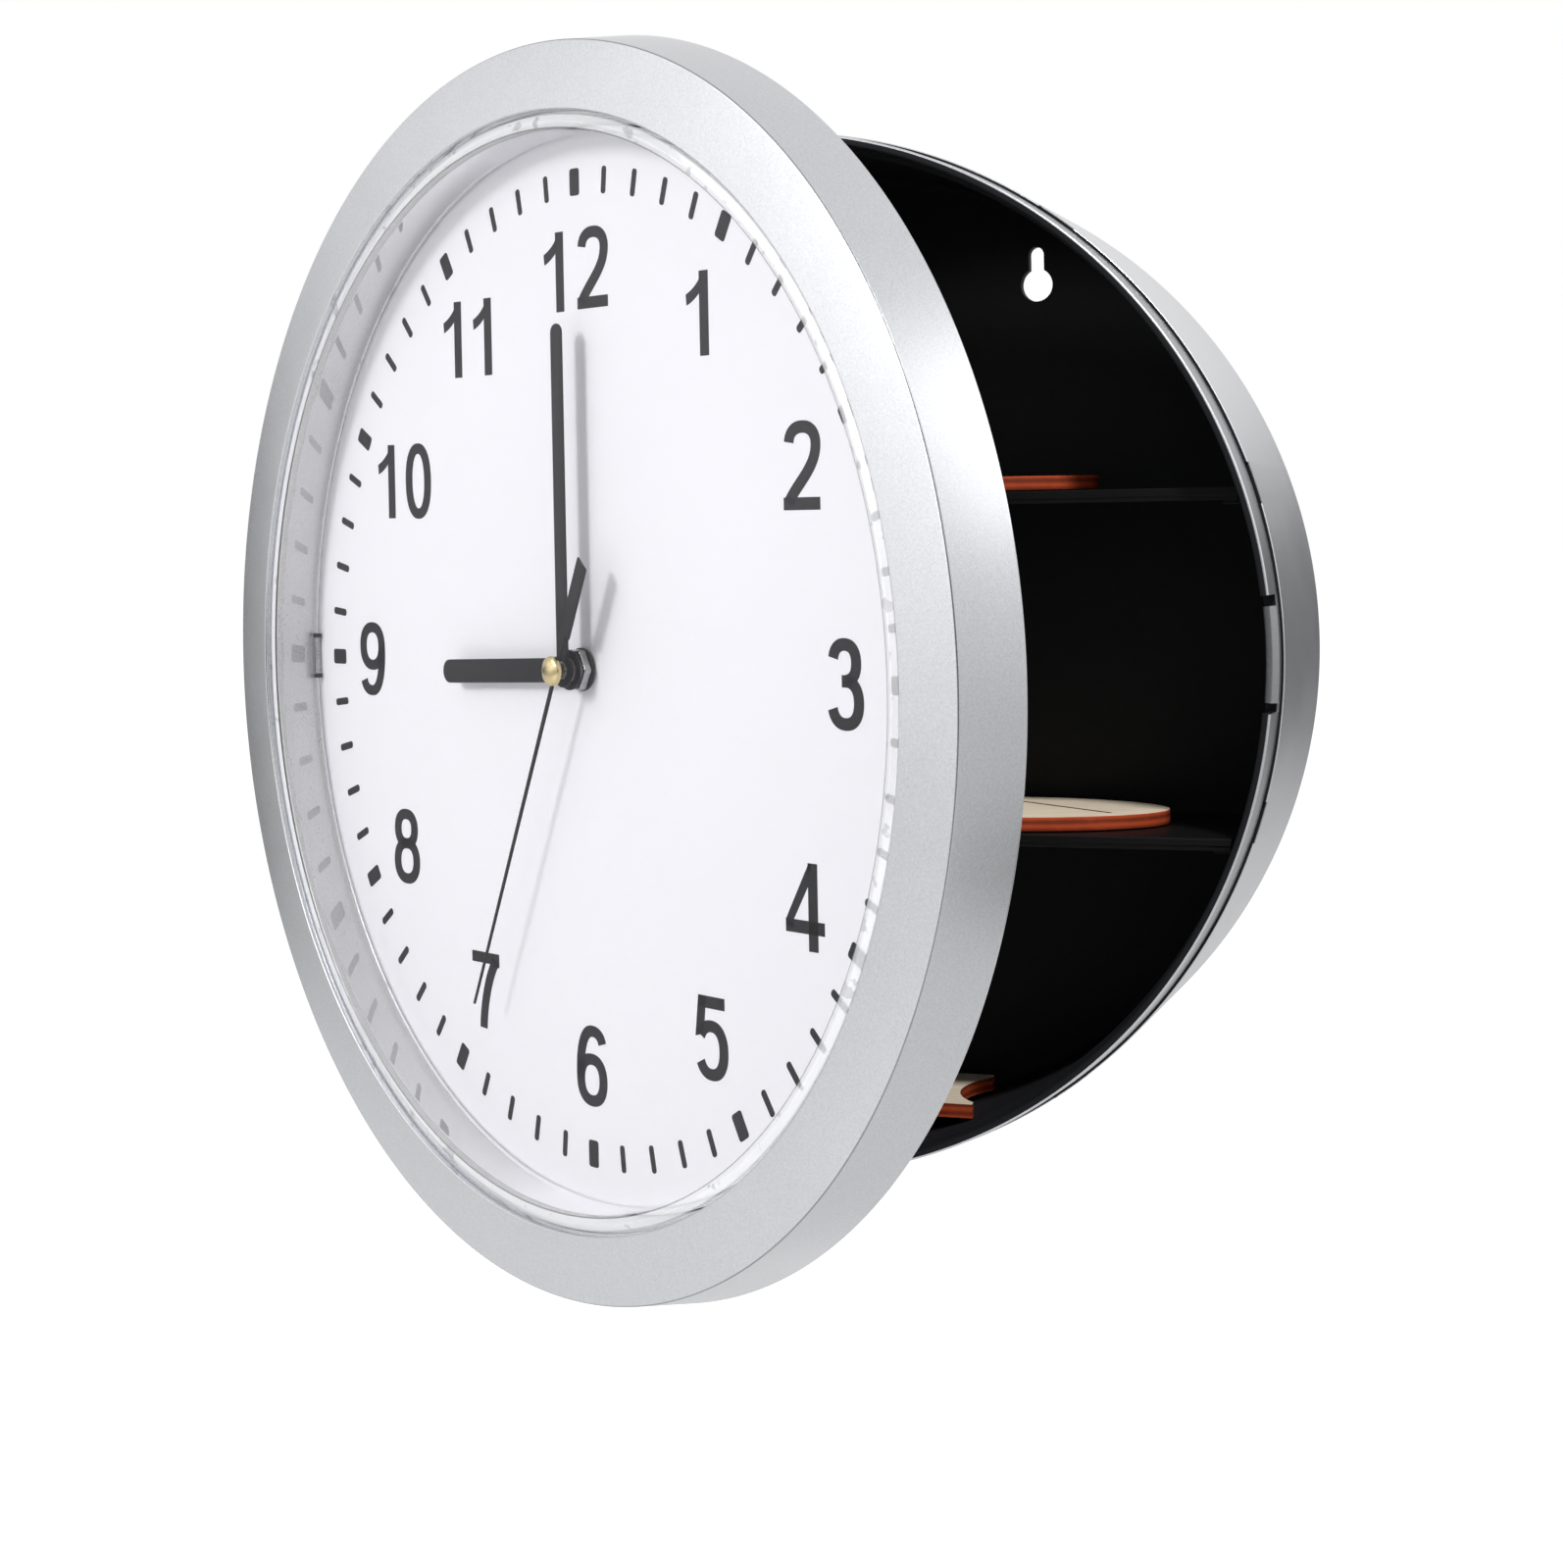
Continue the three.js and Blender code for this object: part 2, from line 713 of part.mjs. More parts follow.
// Door ring: tapered skirt, crowned face and polished bead
function doorBezel() {
  const faceStart = bezelFrontRadius - bezelEdgeRound;
  const beadOuter = beadInnerRadius + beadWidth;
  const grooveOuter = beadOuter + 2 * beadWidth;
  const crown = (grooveOuter + faceStart) / 2;
  const skirtInside = bezelBackRadius - bezelWall;
  const under = bezelHeight - bezelWall;
  const profile = [
    [bezelBackRadius, 0],
    ...arc(faceStart, bezelHeight - bezelEdgeRound, bezelEdgeRound, 0, quarterTurn, 3),
    [crown, bezelHeight + bezelCrown],
    [grooveOuter, bezelHeight + beadRise],
    [grooveOuter - beadWidth / 2, bezelHeight - grooveDepth],
    [beadOuter, bezelHeight - grooveDepth],
    [beadOuter - beadShoulder, bezelHeight + beadRise],
    [beadInnerRadius, bezelHeight],
    [beadInnerRadius, lensFront + gap / 2],
    [innerWallFrontRadius, lensFront + gap / 2],
    [innerWallInside(under), under],
    [skirtInside - bezelEdgeRound, under],
    [skirtInside, 0],
  ];
  const half = doorKnuckleLength / 2;
  const web = hingeWebThickness / 2;
  const end = half + overrun;
  const hole = uprightRod(hingePinRadius + fineGap, -hingeReach, hingeRise, -end, end);
  return join(
    turned(profile),
    uprightRod(knuckleRadius, -hingeReach, hingeRise, -half, half),
    block(-hingeReach - web, -hingeReach + web, gap - half, half - gap, hingeRise, under + gap),
  ).subtract(solid(hole));
}

// Conical ring behind the bezel's face, which takes the lens, the dial and the back plate
function lensSeat() {
  const front = bezelHeight - bezelWall - gap;
  return turned([
    [innerWallInside(front), front],
    [innerWallBackRadius, innerWallBack],
    [innerWallBackRadius + innerWallThickness, innerWallBack],
    [innerWallInside(front) + innerWallThickness, front],
  ]);
}

// Clear cup that covers the hands: flat face, rounded shoulder and a wall down to the dial
function doorLens() {
  const outer = innerWallInside(lensFront) - gap;
  const foot = lensFootRadius + lensWallThickness;
  const round = lensThickness;
  return turned([
    [0, lensFront],
    ...arc(outer - round, lensFront - round, round, quarterTurn, 0),
    [foot, lensFoot],
    [lensFootRadius, lensFoot],
    [outer - lensWallThickness - round / 2, lensInside],
    [0, lensInside],
  ]);
}

// Flat tray behind the dial, with a raised rim and ribs from the movement to that rim
function backPlate() {
  const hole = bushRadius + gap;
  const seat = innerWallBackRadius - gap;
  const trayRadius = plateFlangeRadius - plateRimWidth;
  const profile = [
    [hole, plateFront],
    [seat, plateFront],
    [seat, flangeFront],
    [plateFlangeRadius, flangeFront],
    [plateFlangeRadius, flangeBack],
    [trayRadius, flangeBack],
    [trayRadius, plateBack],
    [hole, plateBack],
  ];
  let body = solid(turned(profile));
  for (let i = 0; i < ribCount; i += 1) {
    const angle = ((i + 1 / 2) * 2 * Math.PI) / ribCount;
    const side = ribWidth / 2;
    const rib = block(ribStart, trayRadius + gap, -side, side, flangeBack, plateBack + gap);
    body = body.add(solid(rib.rotateZ(angle)));
  }
  for (const [x, y] of screwPlaces) {
    const drill = rod(screwShankRadius + fineGap, flangeBack - overrun, flangeFront + overrun);
    body = body.subtract(solid(drill.translate(x, y, 0)));
  }
  return body;
}

const screwRing = plateFlangeRadius - plateRimWidth / 2;
const screwPlaces = Array.from({ length: screwCount }, (unused, i) => {
  const angle = ((i + 1 / 2) * 2 * Math.PI) / screwCount;
  return [screwRing * Math.cos(angle), screwRing * Math.sin(angle)];
});

function screw() {
  const head = flangeBack - gap;
  return turned([
    [0, head - screwHeadHeight],
    [screwHeadRadius / 2, head - screwHeadHeight],
    [screwHeadRadius, head - screwHeadHeight / 2],
    [screwHeadRadius, head],
    [screwShankRadius, head],
    [screwShankRadius, flangeFront],
    [0, flangeFront],
  ], rodFacets);
}

// Small foot that presses the lens wall against the dial
function lensClip(side) {
  const outer = lensFootRadius - gap;
  const middle = outer - lensClipThickness;
  const inner = middle - lensClipThickness;
  const half = lensClipHeight / 2;
  const peg = half - 2 * lensClipThickness;
  const edge = [[outer, -half], [outer, half], [inner, half], [inner, peg], [middle, peg],
    [middle, -peg], [inner, -peg], [inner, -half]];
  return slab(edge.map(([x, y]) => [side * x, y]), lensFoot, lensFoot + lensClipFoot);
}

// Bar hand: hub disc and a straight blade with a rounded tip, pointing to twelve
function barHand(width, length, hub, bore, level) {
  const half = width / 2;
  const shoulder = Math.acos(half / hub);
  const shape = [
    ...arc(0, 0, hub, shoulder, -Math.PI - shoulder, rodFacets),
    ...arc(0, length - half, half, Math.PI, 0, 2 * arcSteps),
  ];
  const top = level + handThickness;
  const collar = rod(bore + handThickness, level + handThickness / 2, level + collarHeight);
  const hole = rod(bore, level - overrun, level + overrun);
  return join(slab(shape, level, top), collar).subtract(solid(hole));
}

// Thin hand with a slanted counterweight on its tail
function secondHand() {
  const top = secondHandLevel + handThickness;
  const half = secondHandWidth / 2;
  const wide = secondWeightWidth / 2;
  const end = -secondHandTail;
  const bore = secondArborRadius + fineGap;
  const shoulder = Math.acos(half / secondHandHub);
  const shape = [
    [half / 2, secondHandLength],
    ...arc(0, 0, secondHandHub, shoulder, -shoulder),
    [half, -secondWeightStart],
    [wide, -secondWeightStart],
    [wide, end],
    [-wide, end + secondWeightSlant],
    [-wide, -secondWeightStart - secondWeightSlant],
    [-half, -secondWeightStart - secondWeightSlant],
    ...arc(0, 0, secondHandHub, shoulder - Math.PI, -shoulder - Math.PI),
    [-half / 2, secondHandLength],
  ];
  const collar = rod(bore + handThickness, secondHandLevel - collarHeight, top - handThickness / 2);
  const hole = rod(bore, secondHandLevel - overrun, top + overrun);
  return join(slab(shape, secondHandLevel, top), collar).subtract(solid(hole));
}

// Domed cap pressed on the second spindle
function handCap() {
  const bore = secondArborRadius + fineGap;
  const depth = capHeight / 2;
  const dome = Array.from({ length: arcSteps }, (unused, i) => {
    const angle = (quarterTurn * i) / arcSteps;
    return [capRadius * Math.cos(angle), capBack + capSkirt + (capHeight - capSkirt) * Math.sin(angle)];
  });
  return turned([
    [0, capBack + depth],
    [bore, capBack + depth],
    [bore, capBack],
    [capRadius, capBack],
    ...dome,
    [0, capBack + capHeight],
  ], rodFacets);
}

// Places of the four offset axles and the levels of the wheels, from the dial side backwards
function polar(origin, reach, direction) {
  return [origin[0] + reach * Math.cos(direction), origin[1] + reach * Math.sin(direction)];
}

function reachOf(gearModule, teeth, otherTeeth) {
  return (gearModule * (teeth + otherTeeth)) / 2;
}

const centre = [0, 0];
const thirdReach = reachOf(secondPinionModule, secondPinionTeeth, thirdTeeth);
const minuteReach = reachOf(cannonModule, cannonTeeth, minuteWheelTeeth);
const thirdPinionModule = (2 * thirdReach) / (thirdPinionTeeth + centreTeeth);
const minutePinionModule = (2 * minuteReach) / (minutePinionTeeth + hourTeeth);
const fifthPlace = polar(centre, reachOf(fifthPinionModule, fifthPinionTeeth, secondTeeth), fifthDirection);
const rotorPlace = polar(fifthPlace, reachOf(rotorModule, rotorTeeth, fifthTeeth), rotorDirection);
const thirdPlace = polar(centre, thirdReach, thirdDirection);
const minutePlace = polar(centre, minuteReach, minuteWheelDirection);
const setterPlace = polar(minutePlace, reachOf(cannonModule, setterTeeth, minuteWheelTeeth), setterDirection);
const wheelOrder = ['hour', 'minute', 'centre', 'third', 'second', 'fifth'];
const wheelFront = Object.fromEntries(wheelOrder.map((name, i) => (
  [name, cavityFront - firstWheelInset - i * wheelSpacing]
)));
const wheelBack = (name) => wheelFront[name] - wheelThickness;
const pinionSide = (pinionLength - wheelThickness) / 2;
const rearBoss = coverFront + coverBossHeight;
const pivotDepth = coverBossHeight / 2;
const statorFront = wheelBack('third') - gap;
const statorBack = statorFront - statorThickness;
const magnetFront = (statorFront + statorBack + magnetLength) / 2;
const magnetBack = magnetFront - magnetLength;
const rotorBossEnd = magnetFront + 2 * gap;
const thirdBossEnd = wheelFront.centre + pinionSide + gap;
const studEnd = wheelBack('minute') - pinionSide;
const batteryY = batteryBayWidth / 2 - halfInside;
const batteryZ = cavityFront - gap - batteryRadius;
const batteryTip = halfInside - 2 * gap - contactThickness;
const batteryEnd = batteryTip - batteryTipLength - batteryLength;

// Phase of a gear that meshes with a neighbour whose own phase and tooth count are given
function meshPhase(direction, teeth, phase, ownTeeth) {
  return direction + Math.PI + Math.PI / ownTeeth - ((phase - direction) * teeth) / ownTeeth;
}

// Boss with a blind pivot hole at its open end
function boss([x, y], root, end) {
  const toward = Math.sign(end - root);
  const body = solid(rod(bossRadius, Math.min(root, end), Math.max(root, end)).translate(x, y, 0));
  const floor = end - toward * (pivotDepth + gap);
  const [from, to] = [Math.min(floor, end + toward * overrun), Math.max(floor, end + toward * overrun)];
  return body.subtract(solid(rod(pivotRadius + fineGap, from, to).translate(x, y, 0)));
}

// Square tray with the spindle bush, the battery bay and the bosses of the wheel train
function movementCase() {
  const inner = halfInside;
  const divider = bayTop + movementWall;
  let body = solid(slab(roundedSquare(halfSide, movementCorner), movementBack, movementFront));
  const rear = movementBack - overrun;
  body = body.subtract(solid(block(-inner, inner, divider, inner, rear, cavityFront)));
  body = body.subtract(solid(block(-inner, inner, -inner, bayTop, rear, cavityFront)));
  const outer = halfSide + overrun;
  const lid = block(-outer, outer, divider, outer, rear, coverFront + gap);
  const bush = rod(bushRadius, cavityFront + gap, bushFront, barrelFacets);
  body = body.subtract(solid(lid)).add(solid(bush));
  body = body.subtract(solid(rod(hourPipeRadius + fineGap, rear, bushFront + overrun)));
  body = body.add(boss(thirdPlace, cavityFront + gap, thirdBossEnd));
  body = body.add(boss(rotorPlace, cavityFront + gap, rotorBossEnd));
  return body.add(solid(rod(studRadius, studEnd, cavityFront + gap).translate(...minutePlace, 0)));
}

// Lid over the wheel train; the battery bay below it stays open
function movementCover() {
  const edge = bayTop + movementWall + gap;
  const outer = halfSide + overrun;
  const below = block(-outer, outer, -outer, edge, movementBack - overrun, 0);
  const plate = slab(roundedSquare(halfSide, movementCorner), movementBack, coverFront);
  let body = solid(plate).subtract(solid(below));
  for (const place of [centre, thirdPlace, rotorPlace]) {
    body = body.add(boss(place, coverFront - gap, rearBoss));
  }
  const stud = rod(studRadius, coverFront - gap, wheelFront.second + pinionSide).translate(...fifthPlace, 0);
  const foot = rod(bossRadius, coverFront - fineGap, rearBoss).translate(...fifthPlace, 0);
  const hole = rod(setterShaftRadius + fineGap, movementBack - overrun, 0).translate(...setterPlace, 0);
  return body.add(solid(stud)).add(solid(foot)).subtract(solid(hole));
}

function batteryCell() {
  return turned([
    [0, batteryEnd],
    [batteryRadius, batteryEnd],
    [batteryRadius, batteryTip - batteryTipLength],
    [batteryTipRadius, batteryTip - batteryTipLength],
    [batteryTipRadius, batteryTip],
    [0, batteryTip],
  ], barrelFacets).rotateY(quarterTurn).translate(0, batteryY, batteryZ);
}

function contactPlate(side) {
  const [outer, inner] = [halfInside - gap, halfInside - gap - contactThickness];
  const [x0, x1] = side < 0 ? [-outer, -inner] : [inner, outer];
  const half = contactHeight / 2;
  return block(x0, x1, batteryY - half, batteryY + half, batteryZ - half, batteryZ + half);
}

// Stepped cone that stands for the pressed spring of the minus contact
function springContact() {
  const base = contactThickness + gap - halfInside;
  const end = batteryEnd - gap;
  const cone = turned([
    [0, base - contactThickness / 2],
    [springRadius, base - contactThickness / 2],
    [springRadius, (base + end) / 2],
    [springRadius / 2, end],
    [0, end],
  ], rodFacets).rotateY(quarterTurn).translate(0, batteryY, batteryZ);
  return join(contactPlate(-1), cone);
}

// Stator frame: a bar with the rotor's bore, two legs and the core that runs through the coil
function motorStator() {
  const [x, y] = rotorPlace;
  const half = statorSpan / 2;
  const leg = statorLegWidth / 2;
  const coreY = y + statorRise;
  const bore = magnetRadius + statorGap;
  const ring = bore + statorRing;
  const waist = Math.asin(leg / ring);
  const edge = [
    [x - half, y - leg],
    ...arc(x, y, ring, waist - Math.PI, -waist, 2 * arcSteps),
    [x + half, y - leg],
    [x + half, coreY + coreWidth / 2],
    [x - half, coreY + coreWidth / 2],
  ];
  const side = half - statorLegWidth;
  const window = [
    ...arc(x, y, ring, Math.PI - waist, waist, 2 * arcSteps),
    [x + side, y + leg],
    [x + side, coreY - coreWidth / 2],
    [x - side, coreY - coreWidth / 2],
    [x - side, y + leg],
  ];
  return slab(edge, statorBack, statorFront, [window, circle(bore, barrelFacets, x, y)]);
}

// Wound bobbin with a flange at each end
function motorCoil() {
  const half = coilLength / 2;
  const bore = Math.hypot(coreWidth, statorThickness) / 2 + gap;
  const flange = half - coilFlangeThickness;
  const middle = (statorFront + statorBack) / 2;
  return turned([
    [bore, -half],
    [coilFlangeRadius, -half],
    [coilFlangeRadius, -flange],
    [coilRadius, -flange],
    [coilRadius, flange],
    [coilFlangeRadius, flange],
    [coilFlangeRadius, half],
    [bore, half],
  ], rodFacets).rotateY(quarterTurn).translate(rotorPlace[0], rotorPlace[1] + statorRise, middle);
}

// Board on the lid with the clock chip under a round drop of resin
function circuitBoard() {
  const right = halfInside - circuitInset;
  const top = halfInside - circuitInset;
  const back = coverFront + gap;
  const front = back + circuitThickness;
  const plate = block(right - boardWide, right, top - boardTall, top, back, front);
  const chip = turned([
    [0, front - circuitThickness / 2],
    [chipRadius, front - circuitThickness / 2],
    [chipRadius, front],
    [chipRadius / 2, front + chipHeight],
    [0, front + chipHeight],
  ], rodFacets).translate(right - chipInset, top - boardTall / 2, 0);
  return join(plate, chip);
}

function quartzCrystal() {
  const right = halfInside - circuitInset;
  const z = coverFront + gap + circuitThickness + gap + crystalRadius;
  const from = right - boardWide + circuitInset;
  return sideRod(crystalRadius, right - boardTall / 2, z, from, from + crystalLength);
}

// Magnet and driving pinion of the stepping motor on one arbor
function rotor() {
  const phase = meshPhase(rotorDirection, fifthTeeth, 0, rotorTeeth);
  const [from, to] = [wheelBack('fifth') - pinionSide, wheelFront.fifth + pinionSide];
  return join(
    gear(rotorTeeth, rotorModule, phase, from, to),
    rod(magnetRadius, magnetBack, magnetFront, barrelFacets),
    rod(pivotRadius, rearBoss - pivotDepth, rotorBossEnd + pivotDepth),
  );
}

// Wheel and pinion that turn on a fixed stud
function studGear(teeth, wheelModule, wheelPhase, back, pinionTeeth, pinionModule, phase, end) {
  const bore = rod(studRadius + fineGap, back - overrun, end + overrun);
  return join(
    gear(teeth, wheelModule, wheelPhase, back, back + wheelThickness),
    gear(pinionTeeth, pinionModule, phase, back + wheelThickness / 2, end),
  ).subtract(solid(bore));
}

function fifthWheel() {
  const phase = meshPhase(fifthDirection, secondTeeth, 0, fifthPinionTeeth);
  const back = wheelBack('fifth');
  const end = wheelFront.second + pinionSide;
  return studGear(fifthTeeth, rotorModule, 0, back, fifthPinionTeeth, fifthPinionModule, phase, end);
}

function secondWheel() {
  const [from, to] = [wheelBack('third') - pinionSide, wheelFront.third + pinionSide];
  return join(
    gear(secondTeeth, fifthPinionModule, 0, wheelBack('second'), wheelFront.second),
    gear(secondPinionTeeth, secondPinionModule, 0, from, to),
    rod(secondArborRadius, rearBoss - pivotDepth, capBack + capSkirt),
  );
}

function thirdWheel() {
  const wheelPhase = meshPhase(thirdDirection, secondPinionTeeth, 0, thirdTeeth);
  const phase = meshPhase(thirdDirection, centreTeeth, 0, thirdPinionTeeth);
  const [from, to] = [wheelBack('centre') - pinionSide, wheelFront.centre + pinionSide];
  return join(
    gear(thirdTeeth, secondPinionModule, wheelPhase, wheelBack('third'), wheelFront.third),
    gear(thirdPinionTeeth, thirdPinionModule, phase, from, to),
    rod(pivotRadius, rearBoss - pivotDepth, thirdBossEnd + pivotDepth),
  );
}

function centreWheel() {
  const bore = minuteArborRadius + fineGap;
  return gear(centreTeeth, thirdPinionModule, 0, wheelBack('centre'), wheelFront.centre, bore);
}

// Hollow arbor of the minute hand: cannon pinion, and the flange that the centre wheel rubs on
function minuteArbor() {
  const [from, to] = [wheelBack('minute') - pinionSide, wheelFront.minute + pinionSide];
  const flangeFace = wheelBack('centre') - gap;
  const flangeBack = flangeFace - minuteArborWall;
  const bore = solid(rod(minuteArborRadius - minuteArborWall, flangeBack - overrun, lensInside));
  return join(
    rod(minuteArborRadius, flangeBack - fineGap / 2, minuteHandLevel + collarHeight),
    gear(cannonTeeth, cannonModule, minuteWheelDirection, from, to),
    rod(2 * minuteArborRadius, flangeBack, flangeFace),
  ).subtract(bore);
}

function minuteWheel() {
  const wheelPhase = meshPhase(minuteWheelDirection, cannonTeeth, minuteWheelDirection, minuteWheelTeeth);
  const phase = meshPhase(minuteWheelDirection, hourTeeth, minuteWheelDirection, minutePinionTeeth);
  const back = wheelBack('minute');
  return studGear(minuteWheelTeeth, cannonModule, wheelPhase, back,
    minutePinionTeeth, minutePinionModule, phase, wheelFront.hour + fineGap);
}

function hourWheel() {
  const [inner, top] = [hourPipeRadius - hourPipeWall, hourHandLevel + collarHeight];
  const pipe = tube(inner, hourPipeRadius, wheelBack('hour') + wheelThickness / 2, top);
  const bore = hourPipeRadius - hourPipeWall / 2;
  return join(
    gear(hourTeeth, minutePinionModule, minuteWheelDirection, wheelBack('hour'), wheelFront.hour, bore),
    pipe,
  );
}

// Shaft that turns the minute wheel when the hands are set
function setterShaft() {
  const wheelPhase = meshPhase(minuteWheelDirection, cannonTeeth, minuteWheelDirection, minuteWheelTeeth);
  const phase = meshPhase(setterDirection, minuteWheelTeeth, wheelPhase, setterTeeth);
  const [from, to] = [wheelBack('minute') - pinionSide, wheelFront.minute + pinionSide];
  return join(
    gear(setterTeeth, cannonModule, phase, from, to),
    rod(setterShaftRadius, movementBack - gap - knobHeight / 2, from),
  );
}

// Fluted knob on the end of the setting shaft
function settingKnob() {
  const front = movementBack - gap;
  const back = front - knobHeight;
  const edge = Array.from({ length: knobFluteSides * knobFlutes }, (unused, i) => {
    const radius = i % knobFluteSides === 0 ? knobRadius - knobFluteDepth : knobRadius;
    return polar(centre, radius, (i * 2 * Math.PI) / (knobFluteSides * knobFlutes));
  });
  const bore = rod(setterShaftRadius + fineGap, front - knobHeight / 2 - gap, front + overrun);
  return solid(slab(edge, back, front)).subtract(solid(bore));
}

// Case pieces
piece('case_shell', caseShell(), materials.silver, face);
piece('case_rim', caseRim(), materials.silver, face);
piece('shelf_upper', shelf(upperShelfTop), materials.blackPlastic, face);
piece('shelf_lower', shelf(lowerShelfTop), materials.blackPlastic, face);
piece('board_upper', ovalBoard(upperOvalEndSpace, upperShelfTop + gap, false), materials.plywood, face);
piece('board_lower', ovalBoard(lowerOvalEndSpace, lowerShelfTop + gap, true), materials.plywood, face);
piece('board_floor', floorBoard(), materials.plywood, face);
piece('hinge_pin', hingePin(), materials.steel, face);
piece('latch_tab', latchTab(), materials.silver, face);

// Door pieces
piece('door_bezel', doorBezel(), materials.silver, door);
piece('lens_seat', lensSeat(), materials.silver, door);
piece('door_lens', doorLens(), materials.clear, door);
const dialRadius = innerWallInside(dialFace) - gap;
piece('door_dial', tube(bushRadius + gap, dialRadius, dialBack, dialFace, ringFacets), materials.dial, door);
piece('door_back_plate', backPlate(), materials.blackPlastic, door);
piece('latch_keeper', latchKeeper(), materials.blackPlastic, door);
piece('lens_clip_left', lensClip(-1), materials.blackPlastic, door);
piece('lens_clip_right', lensClip(1), materials.blackPlastic, door);
screwPlaces.forEach(([x, y], i) => (
  piece(`plate_screw_${i + 1}`, screw(), materials.steel, door, [x, y, 0])
));

// Clock movement and its fixing on the dial
const bushBore = bushRadius + fineGap;
const washer = tube(bushBore, washerRadius, washerBack, washerBack + washerThickness, barrelFacets);
const nut = slab(circle(nutRadius, nutSides), nutBack, nutBack + nutHeight, [circle(bushBore)]);
piece('spindle_washer', washer, materials.blackPlastic, door);
piece('spindle_nut', nut, materials.steel, door);
piece('movement_case', movementCase(), materials.blackPlastic, door);
piece('movement_cover', movementCover(), materials.blackPlastic, door);
piece('circuit_board', circuitBoard(), materials.circuit, door);
piece('quartz_crystal', quartzCrystal(), materials.steel, door);
piece('motor_stator', motorStator(), materials.steel, door);
piece('motor_coil', motorCoil(), materials.copper, door);
piece('battery_cell', batteryCell(), materials.battery, door);
piece('battery_plus_contact', contactPlate(1), materials.steel, door);
piece('battery_minus_contact', springContact(), materials.steel, door);

// Wheel train
piece('motor_rotor', rotor(), materials.steel, door, [...rotorPlace, 0]);
piece('fifth_wheel', fifthWheel(), materials.gearPlastic, door, [...fifthPlace, 0]);
piece('second_wheel', secondWheel(), materials.gearPlastic, door);
piece('third_wheel', thirdWheel(), materials.gearPlastic, door, [...thirdPlace, 0]);
piece('centre_wheel', centreWheel(), materials.gearPlastic, door);
piece('minute_arbor', minuteArbor(), materials.brass, door);
piece('minute_wheel', minuteWheel(), materials.gearPlastic, door, [...minutePlace, 0]);
piece('hour_wheel', hourWheel(), materials.gearPlastic, door);
piece('setting_shaft', setterShaft(), materials.gearPlastic, door, [...setterPlace, 0]);
piece('setting_knob', settingKnob(), materials.blackPlastic, door, [...setterPlace, 0]);

// Hands
const hourBore = hourPipeRadius + fineGap;
const minuteBore = minuteArborRadius + fineGap;
const hourHand = barHand(hourHandWidth, hourHandLength, hourHandHub, hourBore, hourHandLevel);
const minuteHand = barHand(minuteHandWidth, minuteHandLength, minuteHandHub, minuteBore, minuteHandLevel);
piece('hour_hand', hourHand, materials.handPaint, door, [0, 0, 0], -hourHandAngle);
piece('minute_hand', minuteHand, materials.handPaint, door, [0, 0, 0], -minuteHandAngle);
piece('second_hand', secondHand(), materials.handPaint, door, [0, 0, 0], -secondHandAngle);
piece('second_hand_cap', handCap(), materials.brass, door);

export default clock;
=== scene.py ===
import json
from math import acos, asin, cos, pi, radians, sin, sqrt

import bmesh
import bpy
import numpy as np
from mathutils import Matrix


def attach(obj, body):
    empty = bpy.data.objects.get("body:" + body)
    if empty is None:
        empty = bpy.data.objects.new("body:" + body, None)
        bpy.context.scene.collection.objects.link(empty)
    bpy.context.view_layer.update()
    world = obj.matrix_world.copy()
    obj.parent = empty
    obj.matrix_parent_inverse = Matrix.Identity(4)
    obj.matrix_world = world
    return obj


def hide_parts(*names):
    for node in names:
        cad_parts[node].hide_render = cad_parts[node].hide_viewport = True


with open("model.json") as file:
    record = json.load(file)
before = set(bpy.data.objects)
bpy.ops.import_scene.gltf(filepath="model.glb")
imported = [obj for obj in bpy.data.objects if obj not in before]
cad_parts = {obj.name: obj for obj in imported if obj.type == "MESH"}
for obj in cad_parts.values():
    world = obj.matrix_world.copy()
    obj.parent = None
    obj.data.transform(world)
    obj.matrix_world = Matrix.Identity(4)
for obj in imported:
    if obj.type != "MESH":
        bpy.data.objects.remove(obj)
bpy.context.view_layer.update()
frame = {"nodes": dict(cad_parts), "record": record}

bodyOf = {node: body for body, nodes in frame["record"]["behaviour"]["bodies"].items() for node in nodes}
print("frame loaded")

# Places. x runs to the right, y up and w towards the viewer, in millimetres.
# The case counts w from the wall, the door from the back edge of its bezel.
hinge = {"x": -117.0, "rise": 5.0, "depth": 58.0, "open": radians(30)}
doorAcross = (cos(hinge["open"]), -sin(hinge["open"]), 0)  # the door's own x in the room
doorOut = (-sin(hinge["open"]), -cos(hinge["open"]), 0)  # and its own w
gap = 0.3  # between seated pieces


def onWall(points):
    x, y, w = np.moveaxis(np.asarray(points, float), -1, 0)
    return np.stack([x, -w, y], -1) / 1000


# The door's own x and w turned about the upright hinge line by the opening angle
def onDoor(points):
    x, y, w = np.moveaxis(np.asarray(points, float), -1, 0)
    across, out = x - hinge["x"], w - hinge["rise"]
    c, s = cos(hinge["open"]), sin(hinge["open"])
    return onWall(np.stack([hinge["x"] + across * c - out * s, y, hinge["depth"] + across * s + out * c], -1))


def fullTurn(count):
    return np.linspace(0, 2 * pi, count, endpoint=False)


def circle(radius, angles, x=0, y=0):
    return np.stack([x + radius * np.cos(angles), y + radius * np.sin(angles)], -1)


def bar(x0, y0, x1, y1):
    return [(x0, y0), (x1, y0), (x1, y1), (x0, y1)]


def unit(vectors):
    return vectors / np.linalg.norm(vectors, axis=-1, keepdims=True)


